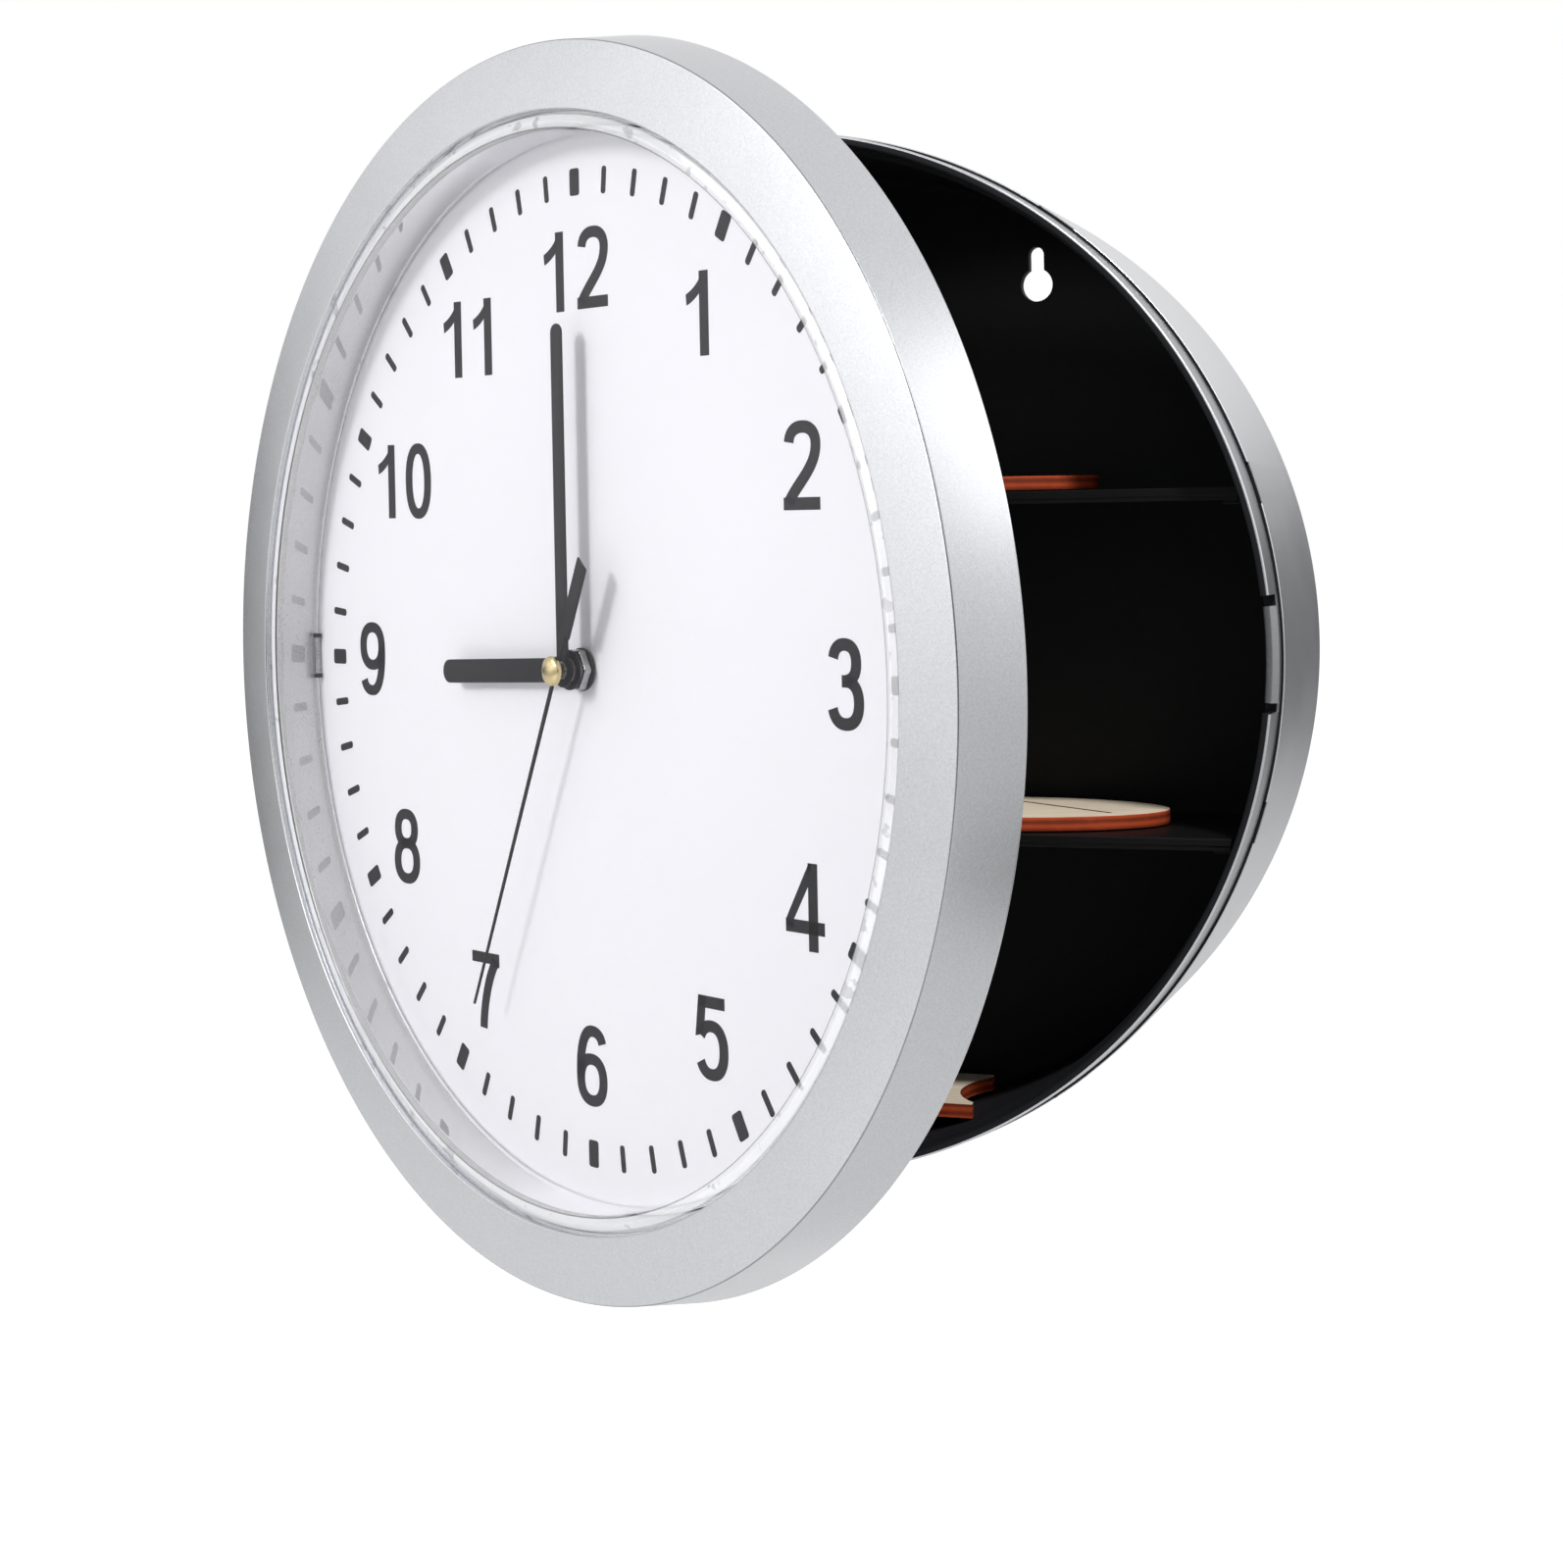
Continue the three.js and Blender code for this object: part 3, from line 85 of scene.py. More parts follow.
# Each corner gives way to a short curve that starts and ends a given reach away from it:
# (1-t)(1-t) start + 2t(1-t) corner + tt end
def softened(corners, reach, steps=6):
    corners = np.asarray(corners, float)
    before, after = np.roll(corners, 1, 0) - corners, np.roll(corners, -1, 0) - corners
    toBefore, toAfter = np.linalg.norm(before, axis=1), np.linalg.norm(after, axis=1)
    reach = np.minimum(np.broadcast_to(reach, len(corners)), 0.48 * np.minimum(toBefore, toAfter))
    start = corners + before * (reach / toBefore)[:, None]
    end = corners + after * (reach / toAfter)[:, None]
    t = np.linspace(0, 1, steps)[None, :, None]
    curve = (1 - t) ** 2 * start[:, None] + 2 * t * (1 - t) * corners[:, None] + t ** 2 * end[:, None]
    return curve.reshape(-1, 2)


# Grid of points to a part (points, faces, finish of each face); its columns always close
def skin(grid, closed, finish=0, ends=False):
    rows, columns = grid.shape[:2]
    i, j = np.arange(rows if closed else rows - 1)[:, None], np.arange(columns)[None, :]
    below, right = (i + 1) % rows * columns, (j + 1) % columns
    corners = [i * columns + j, i * columns + right, below + right, below + j]
    faces = np.stack(corners, -1).reshape(-1, 4).tolist()
    marks = np.broadcast_to(np.reshape(finish, (-1, 1)), (len(i), columns)).reshape(-1).tolist()
    if ends:
        last = (rows - 1) * columns
        faces += [list(range(columns))[::-1], list(range(last, last + columns))]
        marks += [marks[0], marks[-1]]
    return grid.reshape(-1, 3), faces, marks


# Revolved profile: (radius, height) goes to (radius cos a, radius sin a, height)
def swept(profile, angles):
    radius, height = profile[:, :1], profile[:, 1:2]
    return np.stack([radius * np.cos(angles), radius * np.sin(angles), height + 0 * angles], -1)


def turned(profile, around=384, finish=0):
    return skin(swept(profile, fullTurn(around)), bool(profile[0, 0] or profile[-1, 0]), finish)


def lathe(corners, reach, steps, around=384, finish=0):
    return turned(softened(corners, reach, steps), around, finish)


# Outline moved inwards along its own normals, which are the tangents turned by a quarter
def inset(loop, amount):
    tangent = np.roll(loop, -1, 0) - np.roll(loop, 1, 0)
    tangent /= np.linalg.norm(tangent, axis=1)[:, None] + 1e-12
    return loop - np.stack([tangent[:, 1], -tangent[:, 0]], -1) * amount


def counterClockwise(loop):
    x, y = np.asarray(loop, float).T
    area = np.sum(x * np.roll(y, -1) - np.roll(x, -1) * y)
    return np.stack([x, y], -1)[::1 if area > 0 else -1]


# Plate between two heights with rounded edges: rings of the outline, set in by
# edge (1 - sin a) while the height moves by edge (1 - cos a)
def plate(loop, low, high, edge=0.0, hole=None, finish=0, capFinish=None):
    a = np.linspace(0, pi / 2, 4) if edge > 0 else np.array([pi / 2])
    drawn, risen = edge * (1 - np.sin(a)), edge * (1 - np.cos(a))
    levels = list(zip([*drawn, *drawn[::-1]], [*(low + risen), *(high - risen[::-1])]))

    def rings(outline, side):
        outline = counterClockwise(outline)
        return [np.column_stack([inset(outline, side * d), np.full(len(outline), h)]) for d, h in levels]

    marks = [finish] * (len(levels) - 1)
    cap = finish if capFinish is None else capFinish
    if hole is not None:
        return skin(np.array(rings(loop, 1) + rings(hole, -1)[::-1]), True, marks + [cap] + marks + [cap])
    points, faces, marks = skin(np.array(rings(loop, 1)), False, marks, ends=True)
    return points, faces, marks[:-2] + [cap, cap]


# Round wire along a path: the circle stands on the path's tangent and two normals to it
def wire(path, radius, sides, guide):
    along = unit(np.gradient(path, axis=0))
    first = unit(np.cross(along, guide))
    second = np.cross(along, first)
    a = fullTurn(sides)[None, :, None]
    circles = np.cos(a) * first[:, None] + np.sin(a) * second[:, None]
    return skin(path[:, None] + radius * circles, False, ends=True)


# Part whose coordinates are taken in another order, to lay a plate level
def laid(part, order=(0, 2, 1), shift=(0, 0, 0), signs=(1, 1, 1)):
    points, faces, marks = part
    return points[:, list(order)] * np.array(signs, float) + np.array(shift, float), faces, marks


# Six times the signed volume under a list of faces, each split into a fan of triangles
def signedVolume(points, faces):
    total = 0.0
    for count in {len(face) for face in faces}:
        corners = points[np.array([face for face in faces if len(face) == count])]
        for k in range(1, count - 1):
            total += np.sum(corners[:, 0] * np.cross(corners[:, k], corners[:, k + 1]))
    return total


def smoothed(mesh, crease):
    mesh.polygons.foreach_set("use_smooth", np.ones(len(mesh.polygons), bool))
    mesh.set_sharp_from_angle(angle=radians(crease))


# Merges doubles, then drops empty faces or, for a CAD mesh, the lines across its flat faces
def tidied(mesh, reach=2e-7, flatten=False):
    work = bmesh.new()
    work.from_mesh(mesh)
    bmesh.ops.remove_doubles(work, verts=work.verts, dist=reach)
    if flatten:
        bmesh.ops.dissolve_limit(work, angle_limit=radians(0.4), verts=work.verts, edges=work.edges)
    else:
        bmesh.ops.dissolve_degenerate(work, edges=work.edges, dist=reach / 4)
    work.to_mesh(mesh)
    work.free()


def shown(name, data, matrix=None):
    made = bpy.data.objects.new(name, data)
    if matrix:
        made.matrix_world = matrix
    bpy.context.scene.collection.objects.link(made)
    return made


# Puts parts together as one object; every part's faces are turned outwards by its volume
def assembled(name, parts, place, finishes, crease=35):
    points, faces, marks, start = [], [], [], 0
    for local, partFaces, partMarks in parts:
        world = place(local)
        step = 1 if signedVolume(world, partFaces) > 0 else -1
        faces += [[start + k for k in face[::step]] for face in partFaces]
        marks += partMarks
        points.append(world)
        start += len(world)
    mesh = bpy.data.meshes.new(name)
    mesh.from_pydata(np.concatenate(points).tolist(), [], faces)
    mesh.polygons.foreach_set("material_index", np.array(marks, np.int32))
    for finish in finishes:
        mesh.materials.append(finish)
    tidied(mesh)
    smoothed(mesh, crease)
    return shown(name, mesh)


# Takes the cutters out of a piece and leaves the result as a plain mesh
def carve(piece, cutters):
    for cutter in cutters:
        cut = piece.modifiers.new("cut", "BOOLEAN")
        cut.operation, cut.solver, cut.material_mode = "DIFFERENCE", "EXACT", "TRANSFER"
        cut.object = cutter
    bpy.context.view_layer.update()
    seen = piece.evaluated_get(bpy.context.evaluated_depsgraph_get())
    mesh = bpy.data.meshes.new_from_object(seen)
    piece.modifiers.clear()
    piece.data = mesh
    for cutter in cutters:
        bpy.data.objects.remove(cutter)
    smoothed(mesh, 35)


def fit(piece, body, node):
    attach(piece, body)
    if node:
        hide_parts(node)


# New piece in place of a CAD node, or an addition to the door when it names none
def dress(name, parts, finishes, node=None, cutters=(), crease=35):
    body = bodyOf.get(node, "door")
    place = onWall if body in ("case", "latch") else onDoor
    piece = assembled(name, parts, place, finishes, crease)
    if cutters:
        carve(piece, [assembled("cutter", [cutter], place, finishes[-1:]) for cutter in cutters])
    fit(piece, body, node)


# Merged copy of a CAD node with rounded edges and smooth curved faces, shown in its place
def rounded(node, finish, width=0.25, crease=32):
    mesh = frame["nodes"][node].data.copy()
    mesh.name = node + "Look"
    tidied(mesh, 2e-6, True)
    mesh.materials.clear()
    mesh.materials.append(finish)
    smoothed(mesh, crease)
    piece = shown(node + "Look", mesh)
    bevel = piece.modifiers.new("edges", "BEVEL")
    bevel.width, bevel.segments = width / 1000, 2
    bevel.limit_method, bevel.angle_limit = "ANGLE", radians(crease)
    piece.modifiers.new("normals", "WEIGHTED_NORMAL").keep_sharp = True
    fit(piece, bodyOf[node], node)


# Shader maths: a wire is an output socket, and + - * / on wires and numbers add Math nodes
class Wire:
    def __init__(self, tree, socket):
        self.tree, self.socket = tree, socket

    def maths(self, operation, *values):
        made = self.tree.nodes.new("ShaderNodeMath")
        made.operation = operation
        for socket, value in zip(made.inputs, values):
            plug(self.tree, socket, value)
        return Wire(self.tree, made.outputs[0])

    def __add__(self, other):
        return self.maths("ADD", self, other)

    def __sub__(self, other):
        return self.maths("SUBTRACT", self, other)

    def __rsub__(self, other):
        return self.maths("SUBTRACT", other, self)

    def __mul__(self, other):
        return self.maths("MULTIPLY", self, other)

    def __truediv__(self, other):
        return self.maths("DIVIDE", self, other)

    __radd__ = __add__
    __rmul__ = __mul__

    def size(self):
        return self.maths("ABSOLUTE", self)

    # 0 below an edge, 1 above it, straight in between over the given width
    def above(self, edge, width):
        share = (self - (edge - width / 2)) / width
        share = share.maths("MINIMUM", share, 1.0)
        return share.maths("MAXIMUM", share, 0.0)


def plug(tree, socket, value):
    if isinstance(value, Wire):
        tree.links.new(value.socket, socket)
    else:
        socket.default_value = value


# Screen tone, lighter or darker by a factor, as the linear colour that a socket takes
def linear(tone, factor=1.0):
    tone = np.minimum(np.array(tone) * factor, 255) / 255
    tone = np.where(tone <= 0.04045, tone / 12.92, ((tone + 0.055) / 1.055) ** 2.4)
    return (*tone.tolist(), 1.0)


# A finish is a material under construction, or the world when that is given
class Finish:
    def __init__(self, name, world=None):
        self.owner = world or bpy.data.materials.new(name)
        self.owner.use_nodes = True
        self.tree = self.owner.node_tree
        self.tree.nodes.clear()
        self.place = self.node("TexCoord", output="Object")

    def node(self, kind, settings=None, sockets=None, output=0):
        made = self.tree.nodes.new("ShaderNode" + kind)
        for key, value in (settings or {}).items():
            setattr(made, key, value)
        for key, value in (sockets or {}).items():
            plug(self.tree, made.inputs[key], value)
        return Wire(self.tree, made.outputs[output]) if len(made.outputs) else None

    def mapped(self, **sockets):
        return self.node("Mapping", None, {"Vector": self.place, **sockets})

    # Cloudy noise; scale counts grains per metre and stretch draws them out
    def noise(self, scale, detail=3.0, stretch=(1, 1, 1)):
        sockets = {"Vector": self.mapped(Scale=stretch), "Scale": scale, "Detail": detail}
        return self.node("TexNoise", None, sockets)

    def blend(self, share, first, second):
        return self.node("Mix", {"data_type": "RGBA"}, {0: share, 6: first, 7: second}, 2)

    def vector(self, operation, first, second=(0, 0, 0), output="Value"):
        return self.node("VectorMath", {"operation": operation}, {0: first, 1: second}, output)

    def axis(self, direction):
        return self.vector("DOT_PRODUCT", self.place, direction)

    # Distance from the line through a point of the door along the door's axis
    def fromSpindle(self, x, y):
        shifted = self.vector("SUBTRACT", self.place, onDoor([x, y, 0]), "Vector")
        return self.vector("LENGTH", self.vector("CROSS_PRODUCT", shifted, doorOut, "Vector"))

    def bump(self, height, depth):
        return self.node("Bump", None, {"Height": height, "Distance": depth / 1000})

    def surface(self, colour, roughness, normal=None, **others):
        sockets = {"Base Color": colour, "Roughness": roughness}
        if normal:
            sockets["Normal"] = normal
        names = {"metallic": "Metallic", "specular": "Specular IOR Level", "coat": "Coat Weight"}
        return self.node("BsdfPrincipled", None, {**sockets, **{names[key]: others[key] for key in others}})

    def done(self, shader, kind="Material"):
        self.node("Output" + kind, None, {"Surface": shader})
        return self.owner

    def painted(self, *look, **others):
        return self.done(self.surface(*look, **others))

    def mixed(self, share, first, second):
        return self.done(self.node("MixShader", None, {0: share, 1: first, 2: second}))


# Silver paint of the case and the door: fine metal grain under soft clouds
silver = {"tone": (199, 200, 203), "metal": 0.88, "roughness": 0.33, "grain": 2600, "grainDepth": 0.012}


def silverPaint(name, darker=1.0, **changes):
    values = {**silver, **changes}
    paint = Finish(name)
    grain, cloud = paint.noise(values["grain"], 2.0), paint.noise(60)
    colour = paint.blend(grain.above(0.5, 0.5) * 0.8 + cloud * 0.2,
                         linear(values["tone"], darker * 0.93), linear(values["tone"], darker * 1.04))
    roughness = values["roughness"] + (grain - 0.5) * 0.10 + (cloud - 0.5) * 0.06
    return paint.painted(colour, roughness, paint.bump(grain, values["grainDepth"]), metallic=values["metal"])


# Plastics: tone, roughness, specular level, grains per metre and their depth
plastics = {
    "blackCaseInside": ((23, 24, 27), 0.62, 0.2, 1500, 0.02),
    "blackShelf": ((12, 12, 13), 0.5, 0.2, 1500, 0.02),
    "blackBackPlate": ((30, 30, 32), 0.5, 0.35, 1500, 0.02),
    "blackMovement": ((26, 26, 28), 0.42, 0.4, 2200, 0.012),
    "washerRubber": ((42, 42, 44), 0.7, 0.3, 2600, 0.02),
}
# The same for ink, paint and the plastic of bobbins, with how far their tones vary
coatings = {
    "printedInk": ((40, 40, 44), 0.55, 0.12, 2400, 0.002, 0.08),
    "handPaint": ((26, 26, 29), 0.42, 0.18, 2600, 0.004, 0.08),
    "ivoryPlastic": ((232, 228, 212), 0.42, 0.4, 1400, 0.006, 0.06),
}


def plastic(name, tone, roughness, specular, grain, depth, vary=None):
    made = Finish(name)
    fine = made.noise(grain, 2.0)
    low, high = (0.8, 1.25) if vary is None else (1 - vary, 1 + vary)
    clouds, share, wander = ((45, 4.0), 0.6, 0.15) if vary is None else ((70, 3.0), 0.5, 0.12)
    broad = made.noise(*clouds)
    colour = made.blend(broad * share + fine * (1 - share), linear(tone, low), linear(tone, high))
    return made.painted(colour, roughness + (broad - 0.5) * wander, made.bump(fine, depth), specular=specular)


wood = {"face": (226, 214, 196), "grain": (206, 188, 162), "char": (182, 74, 38), "deepChar": (116, 44, 22)}


# Face veneer: long soft streaks of grain along x with a few pores
def boardFace():
    board = Finish("boardFace")
    streaks, pores = board.noise(90, 5.0, (1, 9, 9)), board.noise(420, 3.0, (0.6, 9, 9))
    colour = board.blend(streaks.above(0.5, 0.5), linear(wood["grain"]), linear(wood["face"]))
    colour = board.blend(pores.above(0.66, 0.12) * 0.35, colour, linear(wood["grain"]))
    return board.painted(colour, 0.72 + (streaks - 0.5) * 0.2, board.bump(streaks * 0.5 + pores * 0.5, 0.05),
                         specular=0.25)


# Laser-cut edge: burnt orange with darker glue layers and scorched spots
def boardEdge():
    board = Finish("boardEdge")
    layers = board.node("TexWave", {"bands_direction": "Z", "wave_profile": "SIN"}, {
        "Vector": board.place, "Scale": 165.0, "Distortion": 1.2, "Detail": 2.0, "Detail Scale": 60.0})
    scorch = board.noise(260, 4.0)
    share = (layers * 0.5 + scorch * 0.5).above(0.5, 0.45)
    colour = board.blend(share, linear(wood["deepChar"]), linear(wood["char"]))
    return board.painted(colour, 0.7 + (scorch - 0.5) * 0.2, board.bump(layers * 0.6 + scorch * 0.4, 0.06),
                         specular=0.2)


# Tone, roughness and the way the scratches are drawn out
metals = {
    "steel": ((176, 178, 180), 0.26, (1, 1, 12)), "brass": ((218, 200, 152), 0.18, (3, 3, 3)),
    "copper": ((196, 118, 72), 0.3, (1, 1, 1)), "nickel": ((172, 172, 174), 0.28, (4, 4, 4)),
}


# Drawn or turned metal: fine scratches along one direction over soft clouds
def bareMetal(kind):
    tone, roughness, stretch = metals[kind]
    metal = Finish(kind)
    scratches, cloud = metal.noise(900, 3.0, stretch), metal.noise(120)
    colour = metal.blend(cloud, linear(tone, 0.9), linear(tone))
    roughness += (scratches - 0.5) * 0.2
    return metal.painted(colour, roughness, metal.bump(scratches, 0.004), metallic=1.0)


# Clear sheet: light goes straight through, apart from the share that glass would mirror
def clearSheet(name, tint, mirror):
    sheet = Finish(name)
    through = sheet.node("BsdfTransparent", None, {"Color": tint})
    gloss = sheet.surface((0.98, 0.98, 1.0, 1.0), 0.02 + sheet.noise(35) * 0.03, metallic=1.0)
    front = 1.0 - sheet.node("NewGeometry", output="Backfacing")
    return sheet.mixed(sheet.node("Fresnel", None, {"IOR": 1.47}) * front * mirror, through, gloss)


# Board of the circuit: copper runs under green lacquer, tinned dots, black drop over the chip
def circuitGreen():
    board = Finish("circuitGreen")
    runs = board.node("TexBrick", None, {
        "Vector": board.mapped(Rotation=(1.5708, 0.0, -0.5236)),
        "Color1": (0, 0, 0, 1), "Color2": (0, 0, 0, 1), "Mortar": (1, 1, 1, 1), "Scale": 260.0,
        "Mortar Size": 0.05, "Brick Width": 0.9, "Row Height": 0.34})
    dots = 1.0 - board.node("TexVoronoi", None, {"Vector": board.place, "Scale": 420.0}).above(0.16, 0.04)
    level = board.axis(doorOut).above(0.09101, 0.00005)
    drop = (1.0 - board.fromSpindle(18.4, 20.9).above(0.00222, 0.00005)) * level
    colour = board.blend(runs, linear((22, 92, 52)), linear((60, 132, 74)))
    colour = board.blend(dots, colour, linear((196, 196, 190)))
    colour = board.blend(drop, colour, linear((18, 18, 20)))
    return board.painted(colour, 0.34 + drop * 0.2, metallic=dots * 0.7)


# Sleeve of the battery: deep blue with a pale band towards the raised pole and a thin line
def jacket():
    sleeve = Finish("batteryJacket")
    along = sleeve.axis(doorAcross) * 1000 - 44.675
    fine = sleeve.noise(300)
    pale = linear((214, 216, 218))
    colour = sleeve.blend(fine, linear((40, 66, 104)), linear((50, 78, 118)))
    colour = sleeve.blend(along.above(14.0, 0.1), colour, pale)
    colour = sleeve.blend(along.above(12.2, 0.1) - along.above(13.0, 0.1), colour, pale)
    return sleeve.painted(colour, 0.3 + (fine - 0.5) * 0.1, coat=0.4)


# Metal from an arbor's radius inwards, moulded plastic outside it
def wheelFinish(name, spindle, tone, arbor="steel", arborRadius=0.5):
    wheel = Finish(name)
    metalTone, metalRoughness, stretch = metals[arbor]
    core = 1.0 - wheel.fromSpindle(*spindle).above(arborRadius / 1000, 0.00004)
    fine = wheel.noise(1600, 2.0)
    colour = wheel.blend(core, wheel.blend(fine, linear(tone, 0.95), linear(tone)), linear(metalTone))
    return wheel.painted(colour, core * (metalRoughness - 0.42) + 0.42 + (fine - 0.5) * 0.1,
                         wheel.bump(fine, 0.006), metallic=core)


silverCase, silverDoor = silverPaint("silverPaintCase"), silverPaint("silverPaintDoor")
# Darker copy of the silver paint: painted shade on the rim lip's outer side, the latch tab and a line at the
# bezel's face and skirt corner
shadedSilver = silverPaint("silverPaintShaded", 0.74)
silverInside = silverPaint("silverPlasticInside", 0.8, metal=0.2, roughness=0.5)
polished = silverPaint("polishedBead", roughness=0.14, metal=0.9, grainDepth=0.002)
seatSilver = silverPaint("seatSilver", tone=(226, 226, 224), roughness=0.3, metal=0.45)
caseBlack, shelfBlack, doorBlack, movementBlack, rubber = (
    plastic(name, *plastics[name]) for name in plastics)
inkBlack, handPaint, ivory = (plastic(name, *coatings[name]) for name in coatings)
veneer, charredEdge = boardFace(), boardEdge()
steel, brass, copper, nickel = (bareMetal(kind) for kind in metals)
lensFinish = clearSheet("clearLens", (0.99, 0.99, 0.993, 1.0), 0.55)
lensWallFinish = clearSheet("clearLensWall", (0.985, 0.985, 0.985, 1.0), 4.5)


# Dial card: matt white with the faint tooth of coated paper
def dialCard():
    card = Finish("dialCard")
    tooth = card.noise(1800)
    share = tooth * 0.5 + card.noise(14, 2.0) * 0.5
    colour = card.blend(share, linear((247, 246, 251)), linear((252, 251, 254)))
    return card.painted(colour, 0.55 + (tooth - 0.5) * 0.1, card.bump(tooth, 0.006), specular=0.25)


print("finishes made")

# Case shell. Its front edge drops in ten short slots where a blade lifts the rim out.
shell = {"backRadius": 109.6, "frontRadius": 112.5, "depth": 52.7, "wall": 2.2, "edge": 2.4,
         "slots": 10, "slotLength": 9.0, "slotDepth": 0.8, "keyholeX": 46.5, "keyholeY": 81.0,
         "keyholeRadius": 3.75, "keyholeSlot": 3.6, "keyholeRise": 8.6,
         "gate": 3.4, "groove": 103.6, "grooveDepth": 0.4}
ledge = {"tops": (32.0, -40.3), "thickness": 1.6, "back": 1.9, "front": 47.2}


def shellInside(w):
    share = w / shell["depth"]
    return shell["backRadius"] + (shell["frontRadius"] - shell["backRadius"]) * share - shell["wall"]


# Half the shell's inner width at a depth and a height
def halfChord(w, level):
    return sqrt(shellInside(w) ** 2 - level ** 2)


# Angles of a full turn with pairs of close stops at the ends of some arcs
def anglesWith(centres, half):
    stops = np.array([c + s * half + e for c in centres for s in (-1, 1) for e in (-1e-4, 1e-4)])
    return np.unique(np.round(np.concatenate([fullTurn(360), stops % (2 * pi)]), 7))


# Lowers the edge of a revolved grid to one height within the arcs and to another outside them
def lowered(grid, rows, angles, centres, half, inside, outside):
    away = np.abs((angles[:, None] - np.asarray(centres)[None] + pi) % (2 * pi) - pi)
    level = np.where((away < half).any(1), inside, outside)
    grid[rows, :, 2] = np.minimum(grid[rows, :, 2], level[None])
    return grid


def keyholeLoop(side):
    half, radius = shell["keyholeSlot"] / 2, shell["keyholeRadius"]
    shoulder = asin(half / radius)
    x, y = side * shell["keyholeX"], shell["keyholeY"]
    return np.concatenate([
        circle(half, np.linspace(0, pi, 17), x, y + shell["keyholeRise"] - half),
        circle(radius, np.linspace(pi / 2 + shoulder, 5 * pi / 2 - shoulder, 49), x, y)])


def makeShell():
    depth, wall, seam = shell["depth"], shell["wall"], shell["depth"] - 1.3
    gate, groove, deep = shell["gate"], shell["groove"], shell["grooveDepth"]
    corners = [(0, deep), (gate, deep), (gate + deep / 2, 0), (groove - 0.3, 0), (groove, 0),
               (groove + 0.2, deep), (groove + 0.8, deep), (groove + 1.0, 0), (groove + 1.3, 0),
               (shell["backRadius"] - 0.1, 0),
               (shellInside(seam) + wall, seam), (shell["frontRadius"], depth), (shellInside(depth), depth),
               (shellInside(seam), seam), (shellInside(wall), wall), (0, wall)]
    profile = softened(corners, [0] * 9 + [shell["edge"], 0, 0.3, 0.3, 0, 2.0, 0], 8)
    centres = (np.arange(shell["slots"]) + 0.5) * 2 * pi / shell["slots"]
    half = asin(shell["slotLength"] / 2 / shell["frontRadius"])
    angles = anglesWith(centres, half)
    front = profile[:, 1] > depth - 1.0
    grid = lowered(swept(profile, angles), front, angles, centres, half, depth - shell["slotDepth"], depth)
    # Black from the seam's front face inwards: on that face it is painted shade of the gap between shell and
    # rim, further in it is the case's black plastic
    seamShadeAndBlackInside = np.arange(len(profile) - 1) > front.argmax() + 5  # from the seam inwards
    parts = [skin(grid, False, seamShadeAndBlackInside * 1)]
    back, front = ledge["back"], ledge["front"]
    for top in ledge["tops"]:
        backWall, frontWall = (halfChord(w, abs(top - 0.8)) + 1.2 for w in (back, front))
        inner = halfChord(wall, top) - 4
        loop = softened([(inner, back), (backWall, back), (frontWall, front), (inner, front)], 0.5)
        for side in (-1, 1):
            parts.append(laid(plate(loop * [side, 1], top - ledge["thickness"], top, 0.3, finish=1)))
    dress("caseShell", parts, [silverCase, caseBlack], "case_shell",
          [plate(keyholeLoop(side), -2, 4) for side in (-1, 1)])


makeShell()

# Rim: the standing lip is cut down to its base at the latch; hinge knuckles on the other side
rim = {"lip": 111.8, "inner": 110.0, "base": 53.0, "front": 61.2, "chamfer": 0.45, "tongue": 108.8,
       "tongueLength": 5.5, "step": 1.5, "notch": 24.0}
knuckle = {"radius": 2.6, "bore": 1.2, "doorLength": 20.0, "caseLength": 7.0}
knuckleStart = knuckle["doorLength"] / 2 + gap
knuckleEnd = knuckleStart + knuckle["caseLength"]


def upright(part, level):
    return laid(part, (0, 2, 1), (hinge["x"], 0, level), (1, 1, -1))


# Barrel about the upright hinge line, between two heights
def barrel(low, high, level):
    return upright(lathe(bar(knuckle["bore"], low, knuckle["radius"], high), 0.35, 5, 48), level)


def makeRim():
    lip, inner, base, front, tongue = (rim[key] for key in ("lip", "inner", "base", "front", "tongue"))
    back = base - rim["tongueLength"]
    corners = [(lip, base), (lip, front), (inner, front), (inner, base + rim["step"]), (tongue, base),
               (tongue, back), (shellInside(back) - gap, back), (shellInside(shell["depth"]) - gap, base)]
    profile = softened(corners, [0.2, rim["chamfer"], rim["chamfer"], 0.4, 0.4, 0.3, 0.3, 0.1], 5)
    half = asin(rim["notch"] / 2 / lip)
    angles, row = anglesWith([0.0], half), np.arange(len(profile))
    standing = (profile[:, 1] > base + 0.25) & (row < 20)
    grid = lowered(swept(profile, angles), standing, angles, [0.0], half, base + gap, front)
    # Rows below 5, the lip's outer side, take the darker silver as painted shade; rows 5 to 8 take the case
    # silver and the rest the black plastic
    parts = [skin(grid, True, np.where(row < 5, 2, np.where(row < 9, 0, 1)))]
    level = base + hinge["rise"]
    reach = sqrt(inner ** 2 - knuckleEnd ** 2) + 0.6
    web = softened(bar(hinge["x"] + 1.4, level - 1.5, -reach, level + 1.5), 0.3)
    for low, high in ((-knuckleEnd, -knuckleStart), (knuckleStart, knuckleEnd)):
        parts += [barrel(low, high, level), laid(plate(web, low + 0.3, high - 0.3, 0.3))]
    dress("caseRim", parts, [silverCase, caseBlack, shadedSilver], "case_rim")


makeRim()

# Springy latch tab in the notch, with its barb
latch = {"height": 19.5, "thickness": 1.5, "barb": 1.0, "barbLevel": 58.4}


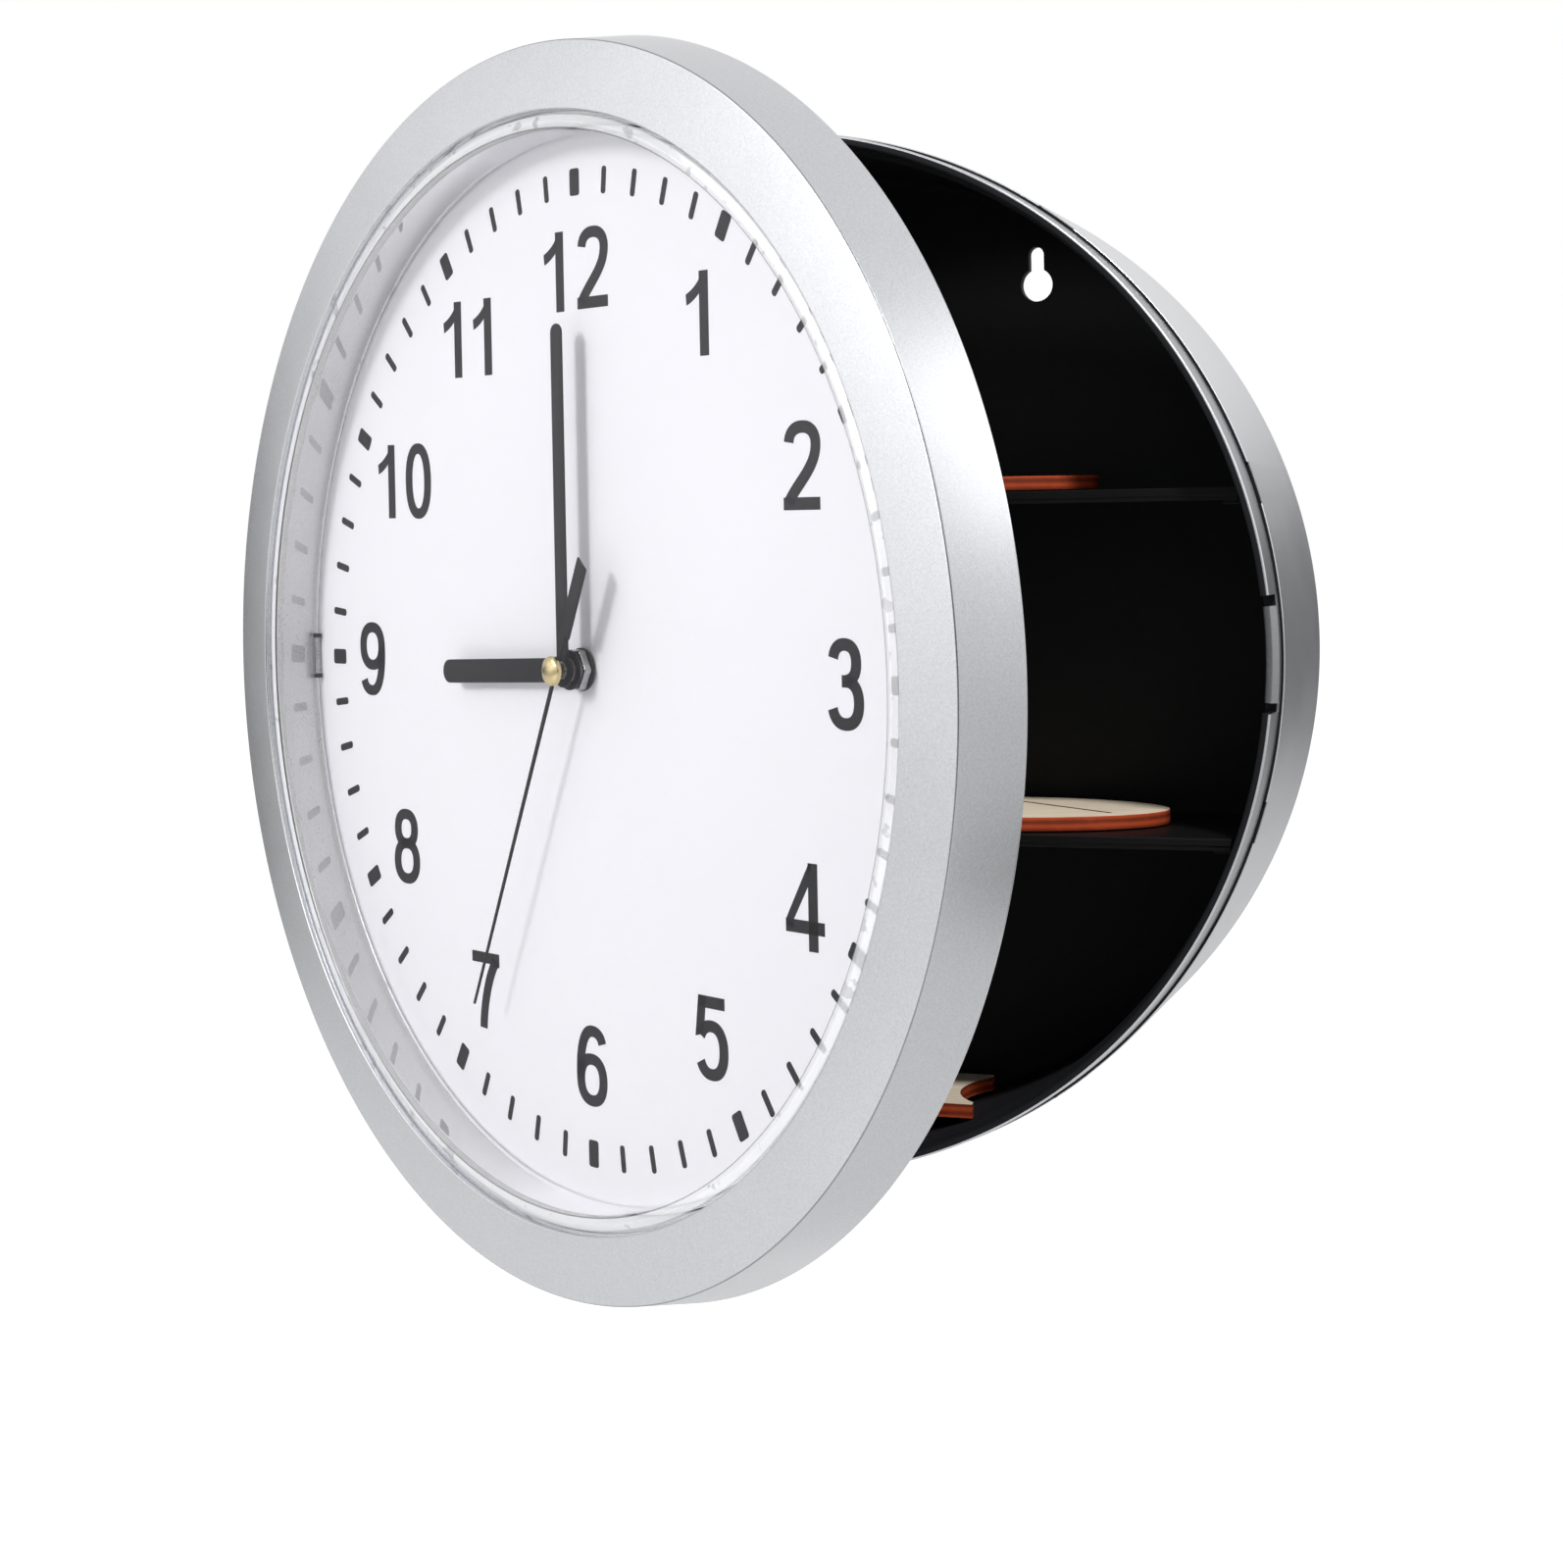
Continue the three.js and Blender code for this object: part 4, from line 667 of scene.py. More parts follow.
def makeLatch():
    lip, foot, front, barb = rim["lip"], rim["base"] + 0.6, rim["front"] - gap, latch["barbLevel"]
    inner = lip - latch["thickness"]
    corners = [(inner, foot), (lip, foot), (lip, barb), (lip + latch["barb"], barb + 0.5), (lip, barb + 2.0),
               (lip, front), (inner, front)]
    half = asin(latch["height"] / 2 / lip)
    grid = swept(softened(corners, [0.2, 0.2, 0.1, 0.25, 0.3, 0.4, 0.3], 5), np.linspace(-half, half, 25))
    # The tab takes the darker silver: painted shade
    dress("latchTab", [skin(grid.swapaxes(0, 1), False, ends=True)], [shadedSilver], "latch_tab")


makeLatch()

pin = {"radius": 1.0, "head": 1.7, "headHeight": 0.9}
pinTop = knuckleEnd + 0.2
pinEnd = pinTop + pin["headHeight"]
pinShape = lathe([(0, -knuckleEnd), (pin["radius"], -knuckleEnd), (pin["radius"], pinTop),
                  (pin["head"], pinTop), (pin["head"], pinEnd), (0, pinEnd)], [0, 0.3, 0, 0.2, 0.4, 0], 6, 40)
dress("hingePin", [upright(pinShape, rim["base"] + hinge["rise"])], [steel], "hinge_pin")
print("case made")

# Shelves and the loose boards that lie on them
for node in ("shelf_upper", "shelf_lower"):
    rounded(node, shelfBlack)

boards = {"thickness": 3.0, "halfWidth": 43.0, "halfDepth": 22.5, "middle": 28.0, "edge": 0.12,
          "slotLength": 34.0, "slotWidth": 1.2, "slotTurn": radians(-38), "slotShift": 19.0}


def makeOval(name, node, level, endSpace, slotted):
    middle, half = boards["middle"], boards["halfWidth"]
    shift = halfChord(middle, level) - endSpace - half
    loop = circle(1, fullTurn(180)) * [half, boards["halfDepth"]] + [shift, middle]
    part = plate(loop, level, level + boards["thickness"], boards["edge"], finish=1, capFinish=0)
    cutters = []
    if slotted:
        along = np.array([cos(boards["slotTurn"]), -sin(boards["slotTurn"])]) * boards["slotLength"] / 2
        across = np.array([sin(boards["slotTurn"]), cos(boards["slotTurn"])]) * boards["slotWidth"] / 2
        centre = np.array([shift + boards["slotShift"], middle - 2.5])
        slot = softened([centre + a * along + b * across for a, b in bar(-1, -1, 1, 1)], 0.3)
        cutters = [laid(plate(slot, level - 1, level + 4))]
    dress(name, [laid(part)], [veneer, charredEdge], node, cutters)


makeOval("boardUpper", "board_upper", 34.2, 36.5, False)
makeOval("boardLower", "board_lower", -38.1, 20.5, True)

# Floor board: straight front and back, slanted ends, each with a wide round finger notch
floorBoard = {"top": -98.8, "back": 6.5, "front": 39.5, "endSpace": 0.8,
              "notchRadius": 22.5, "notchReach": 17.4}


def makeFloorBoard():
    top, back, front, radius = (floorBoard[key] for key in ("top", "back", "front", "notchRadius"))
    under = top - boards["thickness"]
    backEnd, frontEnd = (halfChord(w, under) - floorBoard["endSpace"] for w in (back, front))
    centre, middle = (backEnd + frontEnd) / 2 + floorBoard["notchReach"], (back + front) / 2 - 2.5
    w = middle + radius * np.sin(np.linspace(-0.9, 0.9, 121))
    x = centre - np.sqrt(radius ** 2 - (w - middle) ** 2)
    inside = x < backEnd + (frontEnd - backEnd) * (w - back) / (front - back)
    half = np.concatenate([[(backEnd, back)], np.stack([x, w], -1)[inside], [(frontEnd, front)]])
    part = plate(np.concatenate([half, half[::-1] * [-1, 1]]), under, top, finish=1, capFinish=0)
    dress("boardFloor", [laid(part)], [veneer, charredEdge], "board_floor")


makeFloorBoard()
print("shelves and boards made")

# Bezel of the door: tapered skirt, flat face that leans outwards, polished inner lip and knuckle
bezel = {"back": 125.0, "front": 123.15, "height": 15.0, "wall": 2.0, "cornerLevel": 14.0,
         "cornerRound": 0.42, "lipOuter": 109.75, "lipLevel": 15.4, "lipInner": 109.4, "lipFoot": 13.75}
seat = {"back": 107.3, "front": 109.3, "low": 0.8, "thickness": 1.2}
faceUnder = bezel["height"] - bezel["wall"]  # inner side of the bezel's face


def seatInside(w):
    return seat["back"] + (seat["front"] - seat["back"]) * (w - seat["low"]) / (bezel["height"] - seat["low"])


def makeBezel():
    inner, lipEnd = bezel["back"] - bezel["wall"], seatInside(faceUnder) + 0.35
    corners = [(bezel["back"], 0), (bezel["front"], bezel["cornerLevel"]),
               (bezel["lipOuter"], bezel["lipLevel"]), (bezel["lipInner"], bezel["lipFoot"]),
               (lipEnd, bezel["lipFoot"] - 0.15), (lipEnd, faceUnder), (inner - 1.6, faceUnder), (inner, 0)]
    finish = np.repeat([0, 0, 0, 1, 1, 2, 2, 2], 8)
    # Rows 10 to 12, the rounding between skirt and face, take the darker silver as a painted dark line of
    # shade
    finish[20:24], finish[-2:], finish[:7], finish[10:13] = 1, 0, 1, 3
    half, x, rise = knuckle["doorLength"] / 2, hinge["x"], hinge["rise"]
    web = softened(bar(x - 1.5, rise, x + 1.5, faceUnder + 0.3), 0.1)
    parts = [lathe(corners, [0.4, bezel["cornerRound"], 0.28, 0.1, 0.1, 0.1, 1.0, 0.3], 8, 384, finish),
             barrel(-half, half, rise), laid(plate(web, -half + 0.3, half - 0.3, 0.3))]
    dress("doorBezel", parts, [silverDoor, polished, silverInside, shadedSilver], "door_bezel")


makeBezel()

seatEnd = faceUnder - gap
dress("lensSeat", [lathe([(seatInside(seatEnd), seatEnd), (seat["back"], seat["low"]),
                          (seat["back"] + seat["thickness"], seat["low"]),
                          (seatInside(seatEnd) + seat["thickness"], seatEnd)], 0.25, 5)],
      [seatSilver], "lens_seat")

# Clear cup over the hands: flat face, raised border and a wall down to a rolled foot; border and foot are
# painted nearly white as a highlight
lens = {"front": 14.7, "thickness": 1.3, "foot": 3.8, "footRadius": 105.9, "wall": 1.0,
        "border": 106.0, "crest": 107.4, "crestRise": 0.3, "shoulder": 0.35, "draft": 0.15}


# The border is painted as a highlight: nearly white, with grey lines at its foot and scattered dark flecks,
# painted reflections of refracted marks
def paintedLensHighlight():
    sheet = Finish("paintedLensHighlight")
    # Grey lines near the border's foot: painted reflection
    line = 1.0 - (sheet.fromSpindle(0, 0) * 1000 - (lens["border"] + 0.1)).size().above(0.2, 0.15)
    # Dark flecks: painted reflections of the marks refracted by the lens edge
    paintedRefractionFlecks = sheet.noise(240).above(0.63, 0.04)
    colour = sheet.blend(line, linear((246, 247, 250)), linear((120, 121, 126)))
    colour = sheet.blend(paintedRefractionFlecks * 0.4, colour, linear((90, 92, 98)))
    # Nearly white base: painted highlight of the lens edge
    paintedHighlight = sheet.surface(colour, 0.14 + paintedRefractionFlecks * 0.1, metallic=0.35)
    return sheet.mixed(0.62, sheet.node("BsdfTransparent"), paintedHighlight)


def makeLens():
    front, foot, radius = lens["front"], lens["foot"], lens["footRadius"]
    inside = front - lens["thickness"]
    corners = [(0, front), (lens["border"], front), (lens["crest"], front + lens["crestRise"]),
               (seatInside(front) - gap, front - lens["shoulder"]), (radius + lens["wall"], foot),
               (radius, foot), (radius + lens["draft"], inside), (0, inside)]
    row = np.arange(8 * len(corners) - 1)
    # Rows 12 to 46 except 31, the border, shoulder and rolled foot, take the painted highlight; rows 47 to
    # 55, the wall's inside, take the strongly mirroring sheet
    finish = np.where((row < 12) | (row == 31) | (row > 55), 0, np.where(row < 47, 2, 1))
    part = lathe(corners, [0, 0.15, 0.35, 0.5, 0.3, 0.3, 0.7, 0], 8, 384, finish)
    dress("doorLens", [part], [lensFinish, lensWallFinish, paintedLensHighlight()], "door_lens")


makeLens()

# Dial with its printed marks and numerals
dial = {"face": 3.5, "thickness": 0.5, "bore": 3.4, "ink": 0.05, "markRadius": 96.8, "markLength": 5.4,
        "minuteWidth": 1.55, "hourWidth": 3.3, "thick": 2.75, "thin": 2.25}
# Each digit with the place of its centre
digitPlaces = [
    (1, 39.9, 68.1), (2, 70.3, 38.8), (3, 81.6, -0.2), (4, 68.9, -40.9), (5, 39.8, -68.6), (6, -0.1, -79.2),
    (7, -38.6, -68.6), (8, -69.5, -40.7), (9, -82.4, -0.2), (1, -74.8, 38.8), (0, -61.6, 38.7),
    (1, -46.5, 68.1), (1, -34.9, 68.1), (1, -7.9, 79.4), (2, 5.6, 79.5),
]
card = bar(dial["bore"], dial["face"] - dial["thickness"], seatInside(dial["face"]) - gap, dial["face"])
dress("dialCard", [lathe(card, 0.06, 4)], [dialCard()], "door_dial")


# Centre line to outline: points half the width to either side, along the line's normal.
# Upright strokes get the thick width and level ones the thin.
def brush(line, closedLoop=False):
    along = unit(np.roll(line, -1, 0) - np.roll(line, 1, 0) if closedLoop else np.gradient(line, axis=0))
    width = dial["thin"] + (dial["thick"] - dial["thin"]) * np.abs(along[:, 1:]) ** 1.5
    across = np.stack([-along[:, 1], along[:, 0]], -1) * width / 2
    return line + across, line - across


# Part of a rounded oval: centre + radii times cos and sin, each raised to a power below one
def bowl(x, y, rx, ry, start, end, count=36):
    a = np.radians(np.linspace(start, end, count))
    c, s = np.cos(a), np.sin(a)
    return np.stack([x + rx * np.sign(c) * np.abs(c) ** 0.88, y + ry * np.sign(s) * np.abs(s) ** 0.88], -1)


# Cubic curve between four control points
def bend(*points):
    t = np.linspace(0, 1, 24)[:, None]
    p0, p1, p2, p3 = np.array(points, float)
    return (1 - t) ** 3 * p0 + 3 * t * (1 - t) ** 2 * p1 + 3 * t ** 2 * (1 - t) * p2 + t ** 3 * p3


def stroke(*curves):
    left, right = brush(np.concatenate([curves[0]] + [curve[1:] for curve in curves[1:]]))
    return np.concatenate([left, right[::-1]]), None


def ring(*oval):
    inner, outer = brush(bowl(*oval, 0, 360, 73)[:-1], True)
    return outer, inner


# Strokes of each digit as outlines (loop, None) or rings (loop, hole), 16 mm high about the origin
strokes = {
    0: [ring(0, 0, 3.8, 7.0)],
    1: [(bar(0.7, -8.0, 3.5, 8.0), None),
        (np.concatenate([bend((1.8, 8.0), (1.1, 6.4), (-0.9, 4.7), (-3.5, 3.8)),
                         bend((-3.3, 1.7), (-1.9, 2.1), (-0.3, 2.9), (0.9, 4.0))]), None)],
    2: [stroke(bowl(0.3, 3.8, 3.85, 3.2, 174, -8, 40),
               bend((4.1, 3.35), (3.9, -0.5), (-1.3, -3.2), (-3.9, -6.7))),
        (bar(-5.3, -8.0, 5.2, -5.7), None)],
    3: [stroke(bowl(-0.15, 3.8, 3.2, 3.25, 169, -86, 44)), stroke(bowl(-0.05, -3.3, 3.7, 3.85, 88, -165, 48)),
        (bar(-1.0, -0.6, 0.5, 1.6), None)],
    4: [(bar(1.0, -8.0, 3.7, 8.0), None), (bar(-5.6, -4.9, 5.6, -2.5), None),
        ([(-5.6, -2.7), (-5.6, -4.0), (-3.4, -4.0), (-3.3, -2.6), (1.1, 3.9), (2.0, 8.0), (1.3, 8.0)], None)],
    5: [(bar(-3.8, 5.7, 4.4, 8.0), None), ([(-3.8, 8.0), (-1.4, 8.0), (-2.2, 0.7), (-4.9, 0.0)], None),
        stroke(bowl(0.1, -2.25, 3.85, 4.6, 148, -152, 60))],
    6: [ring(0.05, -2.85, 3.9, 4.15),
        stroke(bowl(0.4, -1.6, 4.3, 8.55, 187, 90, 40), bowl(0.4, 3.6, 3.5, 3.35, 90, 16, 20))],
    7: [(bar(-5.2, 5.7, 5.2, 8.0), None), (bar(3.2, 5.2, 5.2, 6.0), None),
        stroke(bend((4.1, 6.6), (1.2, 3.5), (-0.9, -2.6), (-1.2, -8.0)))],
    8: [ring(-0.15, 3.8, 3.4, 3.2), ring(0, -3.2, 3.9, 3.85)],
}
strokes[9] = [(-loop, None if hole is None else -hole) for loop, hole in strokes[6]]


def clockTurn(loop, degrees):
    a = -radians(degrees)
    return np.asarray(loop, float) @ np.array([[cos(a), sin(a)], [-sin(a), cos(a)]])


def makePrint():
    low, high = dial["face"] - 0.1, dial["face"] + dial["ink"]
    parts = []
    for minute in range(60):
        half, long = dial["minuteWidth" if minute % 5 else "hourWidth"] / 2, dial["markLength"] / 2
        capsule = softened([(half, -long), (half, long), (-half, long), (-half, -long)], 0.74, 7)
        parts.append(plate(clockTurn(capsule + [0, dial["markRadius"]], 6 * minute), low, high))
    for digit, x, y in digitPlaces:
        for loop, hole in strokes[digit]:
            shifted = None if hole is None else hole + [x, y]
            parts.append(plate(np.asarray(loop) + [x, y], low, high, hole=shifted))
    dress("dialPrint", parts, [inkBlack])


makePrint()
print("dial made")

# Hands. Each is a plate whose outline and bore have as many points.
hands = {"thickness": 0.4, "edge": 0.1}


# Bar with a round tip on a round hub; the bore is met point by point round the hub
def makeHand(name, node, width, length, hub, bore, level, turn):
    half = width / 2
    shoulder = acos(half / hub)
    round1 = np.linspace(shoulder, -pi - shoulder, 60)
    side = np.linspace(0, 1, 14)[1:-1, None]
    hubArc, tip = circle(hub, round1), circle(half, np.linspace(pi, 0, 24), 0, length - half)
    loop = np.concatenate([hubArc, hubArc[-1] + side * (tip[0] - hubArc[-1]), tip,
                           tip[-1] + side * (hubArc[0] - tip[-1])])
    round2 = np.linspace(-pi - shoulder, -2 * pi + shoulder, len(loop) - 58)[1:-1]
    hole = circle(bore, np.concatenate([round1, round2]))
    loop, hole = clockTurn(loop, turn), clockTurn(hole, turn)
    blade = plate(loop, level, level + hands["thickness"], hands["edge"], hole)
    collar = lathe(bar(bore, level + 0.2, bore + 0.45, level + 0.8), 0.12, 4, 48, 1)
    dress(name, [blade, collar], [handPaint, nickel], node)


makeHand("hourHand", "hour_hand", 4.9, 47.0, 4.0, 2.15, 6.9, 268)
makeHand("minuteHand", "minute_hand", 3.8, 68.6, 3.4, 1.35, 8.4, 0)

secondHand = {"half": 0.45, "wide": 1.7, "end": -24.0, "hub": 1.8, "length": 77.0, "turn": 205}


def makeSecondHand():
    half, wide, end, hub, length, turn = secondHand.values()
    shoulder = acos(half / hub)
    right = circle(hub, np.linspace(shoulder, -shoulder, 20))
    left = circle(hub, np.linspace(shoulder - pi, -shoulder - pi, 20))
    tail = [(half, -6.5), (wide, -6.5), (wide, end), (-wide, end + 1.2), (-wide, -7.7), (-half, -7.7)]
    loop = np.concatenate([[(half / 2, length)], right, tail, left, [(-half / 2, length)]])
    parts = [plate(clockTurn(loop, turn), 10.1, 10.5), lathe(bar(0.6, 9.3, 1.0, 10.3), 0.1, 4, 40, 1)]
    dress("secondHand", parts, [handPaint, nickel], "second_hand")


makeSecondHand()

# Lens clips: a bright strip between two dark feet
clip = {"inner": 104.6, "outer": 105.6, "half": 5.0, "foot": 0.9, "low": 3.8, "high": 5.4, "thin": 0.45}


def makeClips():
    low, high, half, outer = clip["low"], clip["high"], clip["half"], clip["outer"]
    end = half - clip["foot"]
    for side, name in ((-1, "left"), (1, "right")):
        flip = np.array([side, 1])
        parts = [plate(bar(outer - clip["thin"], -end, outer, end) * flip, low, high - 0.3, 0.1)]
        parts += [plate(bar(clip["inner"], start, outer, stop) * flip, low, high, 0.15, finish=1)
                  for start, stop in ((-half, -end), (end, half))]
        dress("lensClip" + name.title(), parts, [steel, doorBlack], "lens_clip_" + name)


makeClips()

# Domed cap: the dome's radius and height follow cos and sin of one angle
cap = {"radius": 3.0, "stem": 0.6, "under": 10.8, "rim": 11.4, "dome": 1.1, "inside": 11.65}


def makeCap():
    radius, stem, low, edge, rise, inside = cap.values()
    a = np.linspace(0, pi / 2, 16)
    dome = np.column_stack([radius * np.cos(a), edge + rise * np.sin(a)])
    dome[-1, 0] = 0
    foot = softened([(0, inside), (stem, inside), (stem, low), (radius, low), (radius, edge)],
                    [0, 0, 0.1, 0.35, 0], 6)[6:-6]
    profile = np.concatenate([[(0, inside)], foot, dome])
    dress("handCap", [turned(profile, 64)], [brass], "second_hand_cap")


makeCap()

# Washer, six-sided nut and the thread of the spindle bush
fixing = {"bore": 3.3, "washer": 4.3, "nut": 4.6, "bush": 3.24, "bushBore": 2.2,
          "pitch": 0.75, "threadDepth": 0.16}


# The thread's radius falls from the bush by a zigzag of height / pitch - angle / full turn
def makeFixing():
    washer = lathe(bar(fixing["bore"], 3.8, fixing["washer"], 4.4), 0.15, 5, 64)
    dress("spindleWasher", [washer], [rubber], "spindle_washer")
    loop = softened(circle(fixing["nut"], fullTurn(6)), 0.5, 8)
    hole = circle(fixing["bore"], np.arctan2(loop[:, 1], loop[:, 0]))
    dress("spindleNut", [plate(loop, 4.7, 6.3, 0.3, hole)], [nickel], "spindle_nut")
    a, w = fullTurn(48), np.linspace(4.0, 6.55, 90)
    phase = (w[:, None] / fixing["pitch"] - a[None] / (2 * pi)) % 1.0
    radius = fixing["bush"] - fixing["threadDepth"] * (1 - np.abs(2 * phase - 1))
    tube = np.column_stack([np.ones(len(w)), w])
    outer, inner = swept(tube, a), swept(tube * [fixing["bushBore"], 1], a)
    outer[..., :2] *= radius[..., None]
    dress("bushThread", [skin(np.concatenate([outer, inner[::-1]]), True)], [nickel], crease=60)


makeFixing()
print("hands made")

# Pan-headed screws of the back plate, each with a cross recess
screw = {"ring": 106.7, "head": 1.4, "back": -2.1, "under": -1.2, "shank": 0.7, "end": 0.5,
         "recessLength": 1.9, "recessWidth": 0.42, "recessDepth": 0.5}


def makeScrews():
    head, back, under, shank, end = (screw[key] for key in ("head", "back", "under", "shank", "end"))
    long, wide = screw["recessLength"] / 2, screw["recessWidth"] / 2
    shape = lathe([(0, back), (head, back), (head, under), (shank, under), (shank, end), (0, end)],
                  [0, 0.6, 0.1, 0.05, 0.15, 0], 6, 40)
    for k in range(4):
        at = circle(screw["ring"], (0.25 + 0.5 * k) * pi)
        recess = [plate(clockTurn(bar(-long, -wide, long, wide), 31 * k + quarter) + at, back - 1,
                        back + screw["recessDepth"]) for quarter in (0, 90)]
        dress("plateScrew%d" % (k + 1), [laid(shape, (0, 1, 2), (*at, 0))], [steel],
              "plate_screw_%d" % (k + 1), recess)


makeScrews()


# Lies along the door's x: a revolved profile whose heights are x
def alongX(part, values):
    return laid(part, (2, 0, 1), (0, values["y"], values["level"]))


# Coil: flanged bobbin with a winding whose radius follows a half sine per turn
coil = {"x": -7.45, "y": 21.99, "level": -8.3, "half": 5.25, "flange": 4.0, "flangeThickness": 0.8,
        "radius": 3.3, "turns": 30, "wireDepth": 0.16}


def makeCoil():
    half, flange, inner = coil["half"], coil["flange"], coil["half"] - coil["flangeThickness"]
    x = np.linspace(-inner, inner, coil["turns"] * 6 + 1)
    turn = np.abs(np.sin((x + inner) / (2 * inner) * pi * coil["turns"]))
    end = softened([(0, -half), (flange, -half), (flange, -inner)], [0, 0.15, 0], 5)
    winding = np.column_stack([coil["radius"] + coil["wireDepth"] * turn, x])
    profile = np.concatenate([end, winding, end[::-1] * [1, -1]])
    row = np.arange(len(profile) - 1)
    finish = np.where((row >= len(end)) & (row < len(end) + len(x) - 1), 0, 1)
    part = alongX(turned(profile + [0, coil["x"]], 48, finish), coil)
    dress("motorCoil", [part], [copper, ivory], "motor_coil")


makeCoil()

# Battery: bare ends with a step, plain two-tone jacket between them
battery = {"y": -19.0, "level": -7.6, "radius": 7.0, "minus": -24.2, "plus": 24.4,
           "tip": 25.8, "tipRadius": 2.7}
# Contact at its bare end: a leaf with a cone-shaped spring, (R - kt) cos, (R - kt) sin, t
spring = {"leaf": -26.5, "thickness": 0.4, "half": 5, "start": -25.9, "rise": 1.15,
          "radius": 2.95, "taper": 1.4}


def makeBattery():
    low, high, r, tip, tipEnd = (battery[key] for key in ("minus", "plus", "radius", "tipRadius", "tip"))
    corners = [(0, low), (5.7, low), (5.9, low + 0.4), (r, low + 0.4), (r, high), (5.6, high),
               (5.4, high - 0.3), (tip, high - 0.3), (tip, tipEnd), (0, tipEnd)]
    finish = np.repeat([0, 0, 1, 1, 1, 1, 0, 0, 0, 0], 6)[:-1]
    cell = lathe(corners, [0, 0.15, 0.1, 0.5, 0.5, 0.1, 0.1, 0.1, 0.5, 0], 6, 96, finish)
    dress("batteryCell", [alongX(cell, battery)], [nickel, jacket()], "battery_cell")
    t = np.linspace(0, 1, 160)
    coils = circle(spring["radius"] - spring["taper"] * t, 6.5 * pi * t, battery["y"], battery["level"])
    path = np.column_stack([spring["start"] + spring["rise"] * t, coils])
    half, back = spring["half"], spring["leaf"]
    leaf = plate(softened(bar(-half, -half, half, half), 1.0), back, back + spring["thickness"], 0.08)
    dress("minusContact", [wire(path, 0.24, 10, (1, 0, 0)), alongX(leaf, battery)], [nickel],
          "battery_minus_contact", crease=50)


makeBattery()

# Crystal: drawn can with a rolled foot and two wires bent down to the board
crystal = {"y": 20.9, "level": -11.5, "start": 6.8, "radius": 0.86, "foot": 12.35, "footRadius": 1.0,
           "end": 12.8, "wires": 0.35, "wireRadius": 0.13}


def makeCrystal():
    start, r, foot, wide = (crystal[key] for key in ("start", "radius", "foot", "footRadius"))
    end, level = crystal["end"], crystal["level"]
    can = lathe([(0, start), (r, start), (r, foot), (wide, foot), (wide, end), (0, end)],
                [0, 0.3, 0.08, 0.05, 0.1, 0], 6, 36)
    parts = [alongX(can, crystal)]
    # Known fault: the repeated last corner gives invalid points at the wires' ends
    bent = softened([(12.6, level), (14.4, level), (14.4, -13.0), (14.4, -13.0)], [0, 0.7, 0, 0], 12)[11:36]
    for side in (-crystal["wires"], crystal["wires"]):
        path = np.column_stack([bent[:, 0], np.full(len(bent), crystal["y"] + side), bent[:, 1]])
        parts.append(wire(np.unique(path, axis=0), crystal["wireRadius"], 8, (0, 1, 0)))
    dress("quartzCrystal", parts, [nickel], "quartz_crystal")


makeCrystal()

# Raised signs on the movement's back: the battery's poles and the way to turn the knob
signs = {"low": -15.32, "high": -15.0, "knob": (14.2, -5.0)}


def makeSigns():
    arc = circle(1, np.radians(np.linspace(35, 140, 40)))
    arrow = [np.concatenate([7.3 * arc, 6.7 * arc[::-1]]),
             np.array([8.3 * arc[-1], circle(7.0, radians(158)), 5.7 * arc[-1]])]
    loops = [bar(22.5, -7.6, 26.0, -6.9), bar(23.9, -9.0, 24.6, -5.5), bar(-26.0, -7.6, -22.5, -6.9)]
    loops += [loop + signs["knob"] for loop in arrow]
    parts = [plate(loop, signs["low"], signs["high"]) for loop in loops]
    dress("raisedSigns", parts, [movementBlack])


makeSigns()

# Wheels, in the order of the train: spindle, tone of the plastic, and metal and radius of the
# arbor where they aren't a thin steel one's
wheels = {
    "motor_rotor": ((-7.4509, 10.4937), (86, 88, 94)),
    "fifth_wheel": ((-6.2354, 3.6), (233, 230, 218)),
    "second_wheel": ((0.0, 0.0), (238, 236, 230)),
    "third_wheel": ((6.3109, 6.3109), (226, 222, 206)),
    "centre_wheel": ((0.0, 0.0), (232, 234, 232), "brass", 1.2),
    "minute_arbor": ((0.0, 0.0), (236, 232, 220), "brass", 1.3),
    "minute_wheel": ((6.2354, -3.6), (222, 230, 232)),
    "hour_wheel": ((0.0, 0.0), (238, 236, 228), "brass"),
    "setting_shaft": ((14.2123, -5.0066), (230, 226, 212)),
}
for node, values in wheels.items():
    slot = "arbor_brass" if node == "minute_arbor" else "gear_plastic"
    rounded(node, wheelFinish(node + "Finish", *values), 0.04)
rounded("setting_knob", movementBlack, 0.2, 25)
print("movement made")

# Everything else keeps its CAD form with rounded edges
for node, finish, slot, width in (
        ("circuit_board", circuitGreen(), "circuit_green", 0.05),
        ("door_back_plate", doorBlack, "plate_black", 0.3), ("latch_keeper", doorBlack, "plate_black", 0.25),
        ("movement_case", movementBlack, "movement_black", 0.25),
        ("movement_cover", movementBlack, "movement_black", 0.2), ("motor_stator", nickel, "steel", 0.08),
        ("battery_plus_contact", nickel, "steel", 0.1)):
    rounded(node, finish, width)

# Studio: white surroundings and a pale floor well below
studio = {"floor": -0.36, "worldLight": 0.5, "floorGlow": 0.62, "mirroredGlow": 0.26}


def sheet(name, wide, high, level, finish, matrix=None):
    mesh = bpy.data.meshes.new(name)
    mesh.from_pydata([(x, y, level) for x, y in bar(-wide, -high, wide, high)], [], [(0, 1, 2, 3)])
    mesh.materials.append(finish)
    return shown(name, mesh, matrix)


# Whether a ray comes from the camera, from a mirror or through glass
def rays(finish):
    kinds = ("Camera", "Glossy", "Transmission")
    return [finish.node("LightPath", output="Is %s Ray" % kind) for kind in kinds]


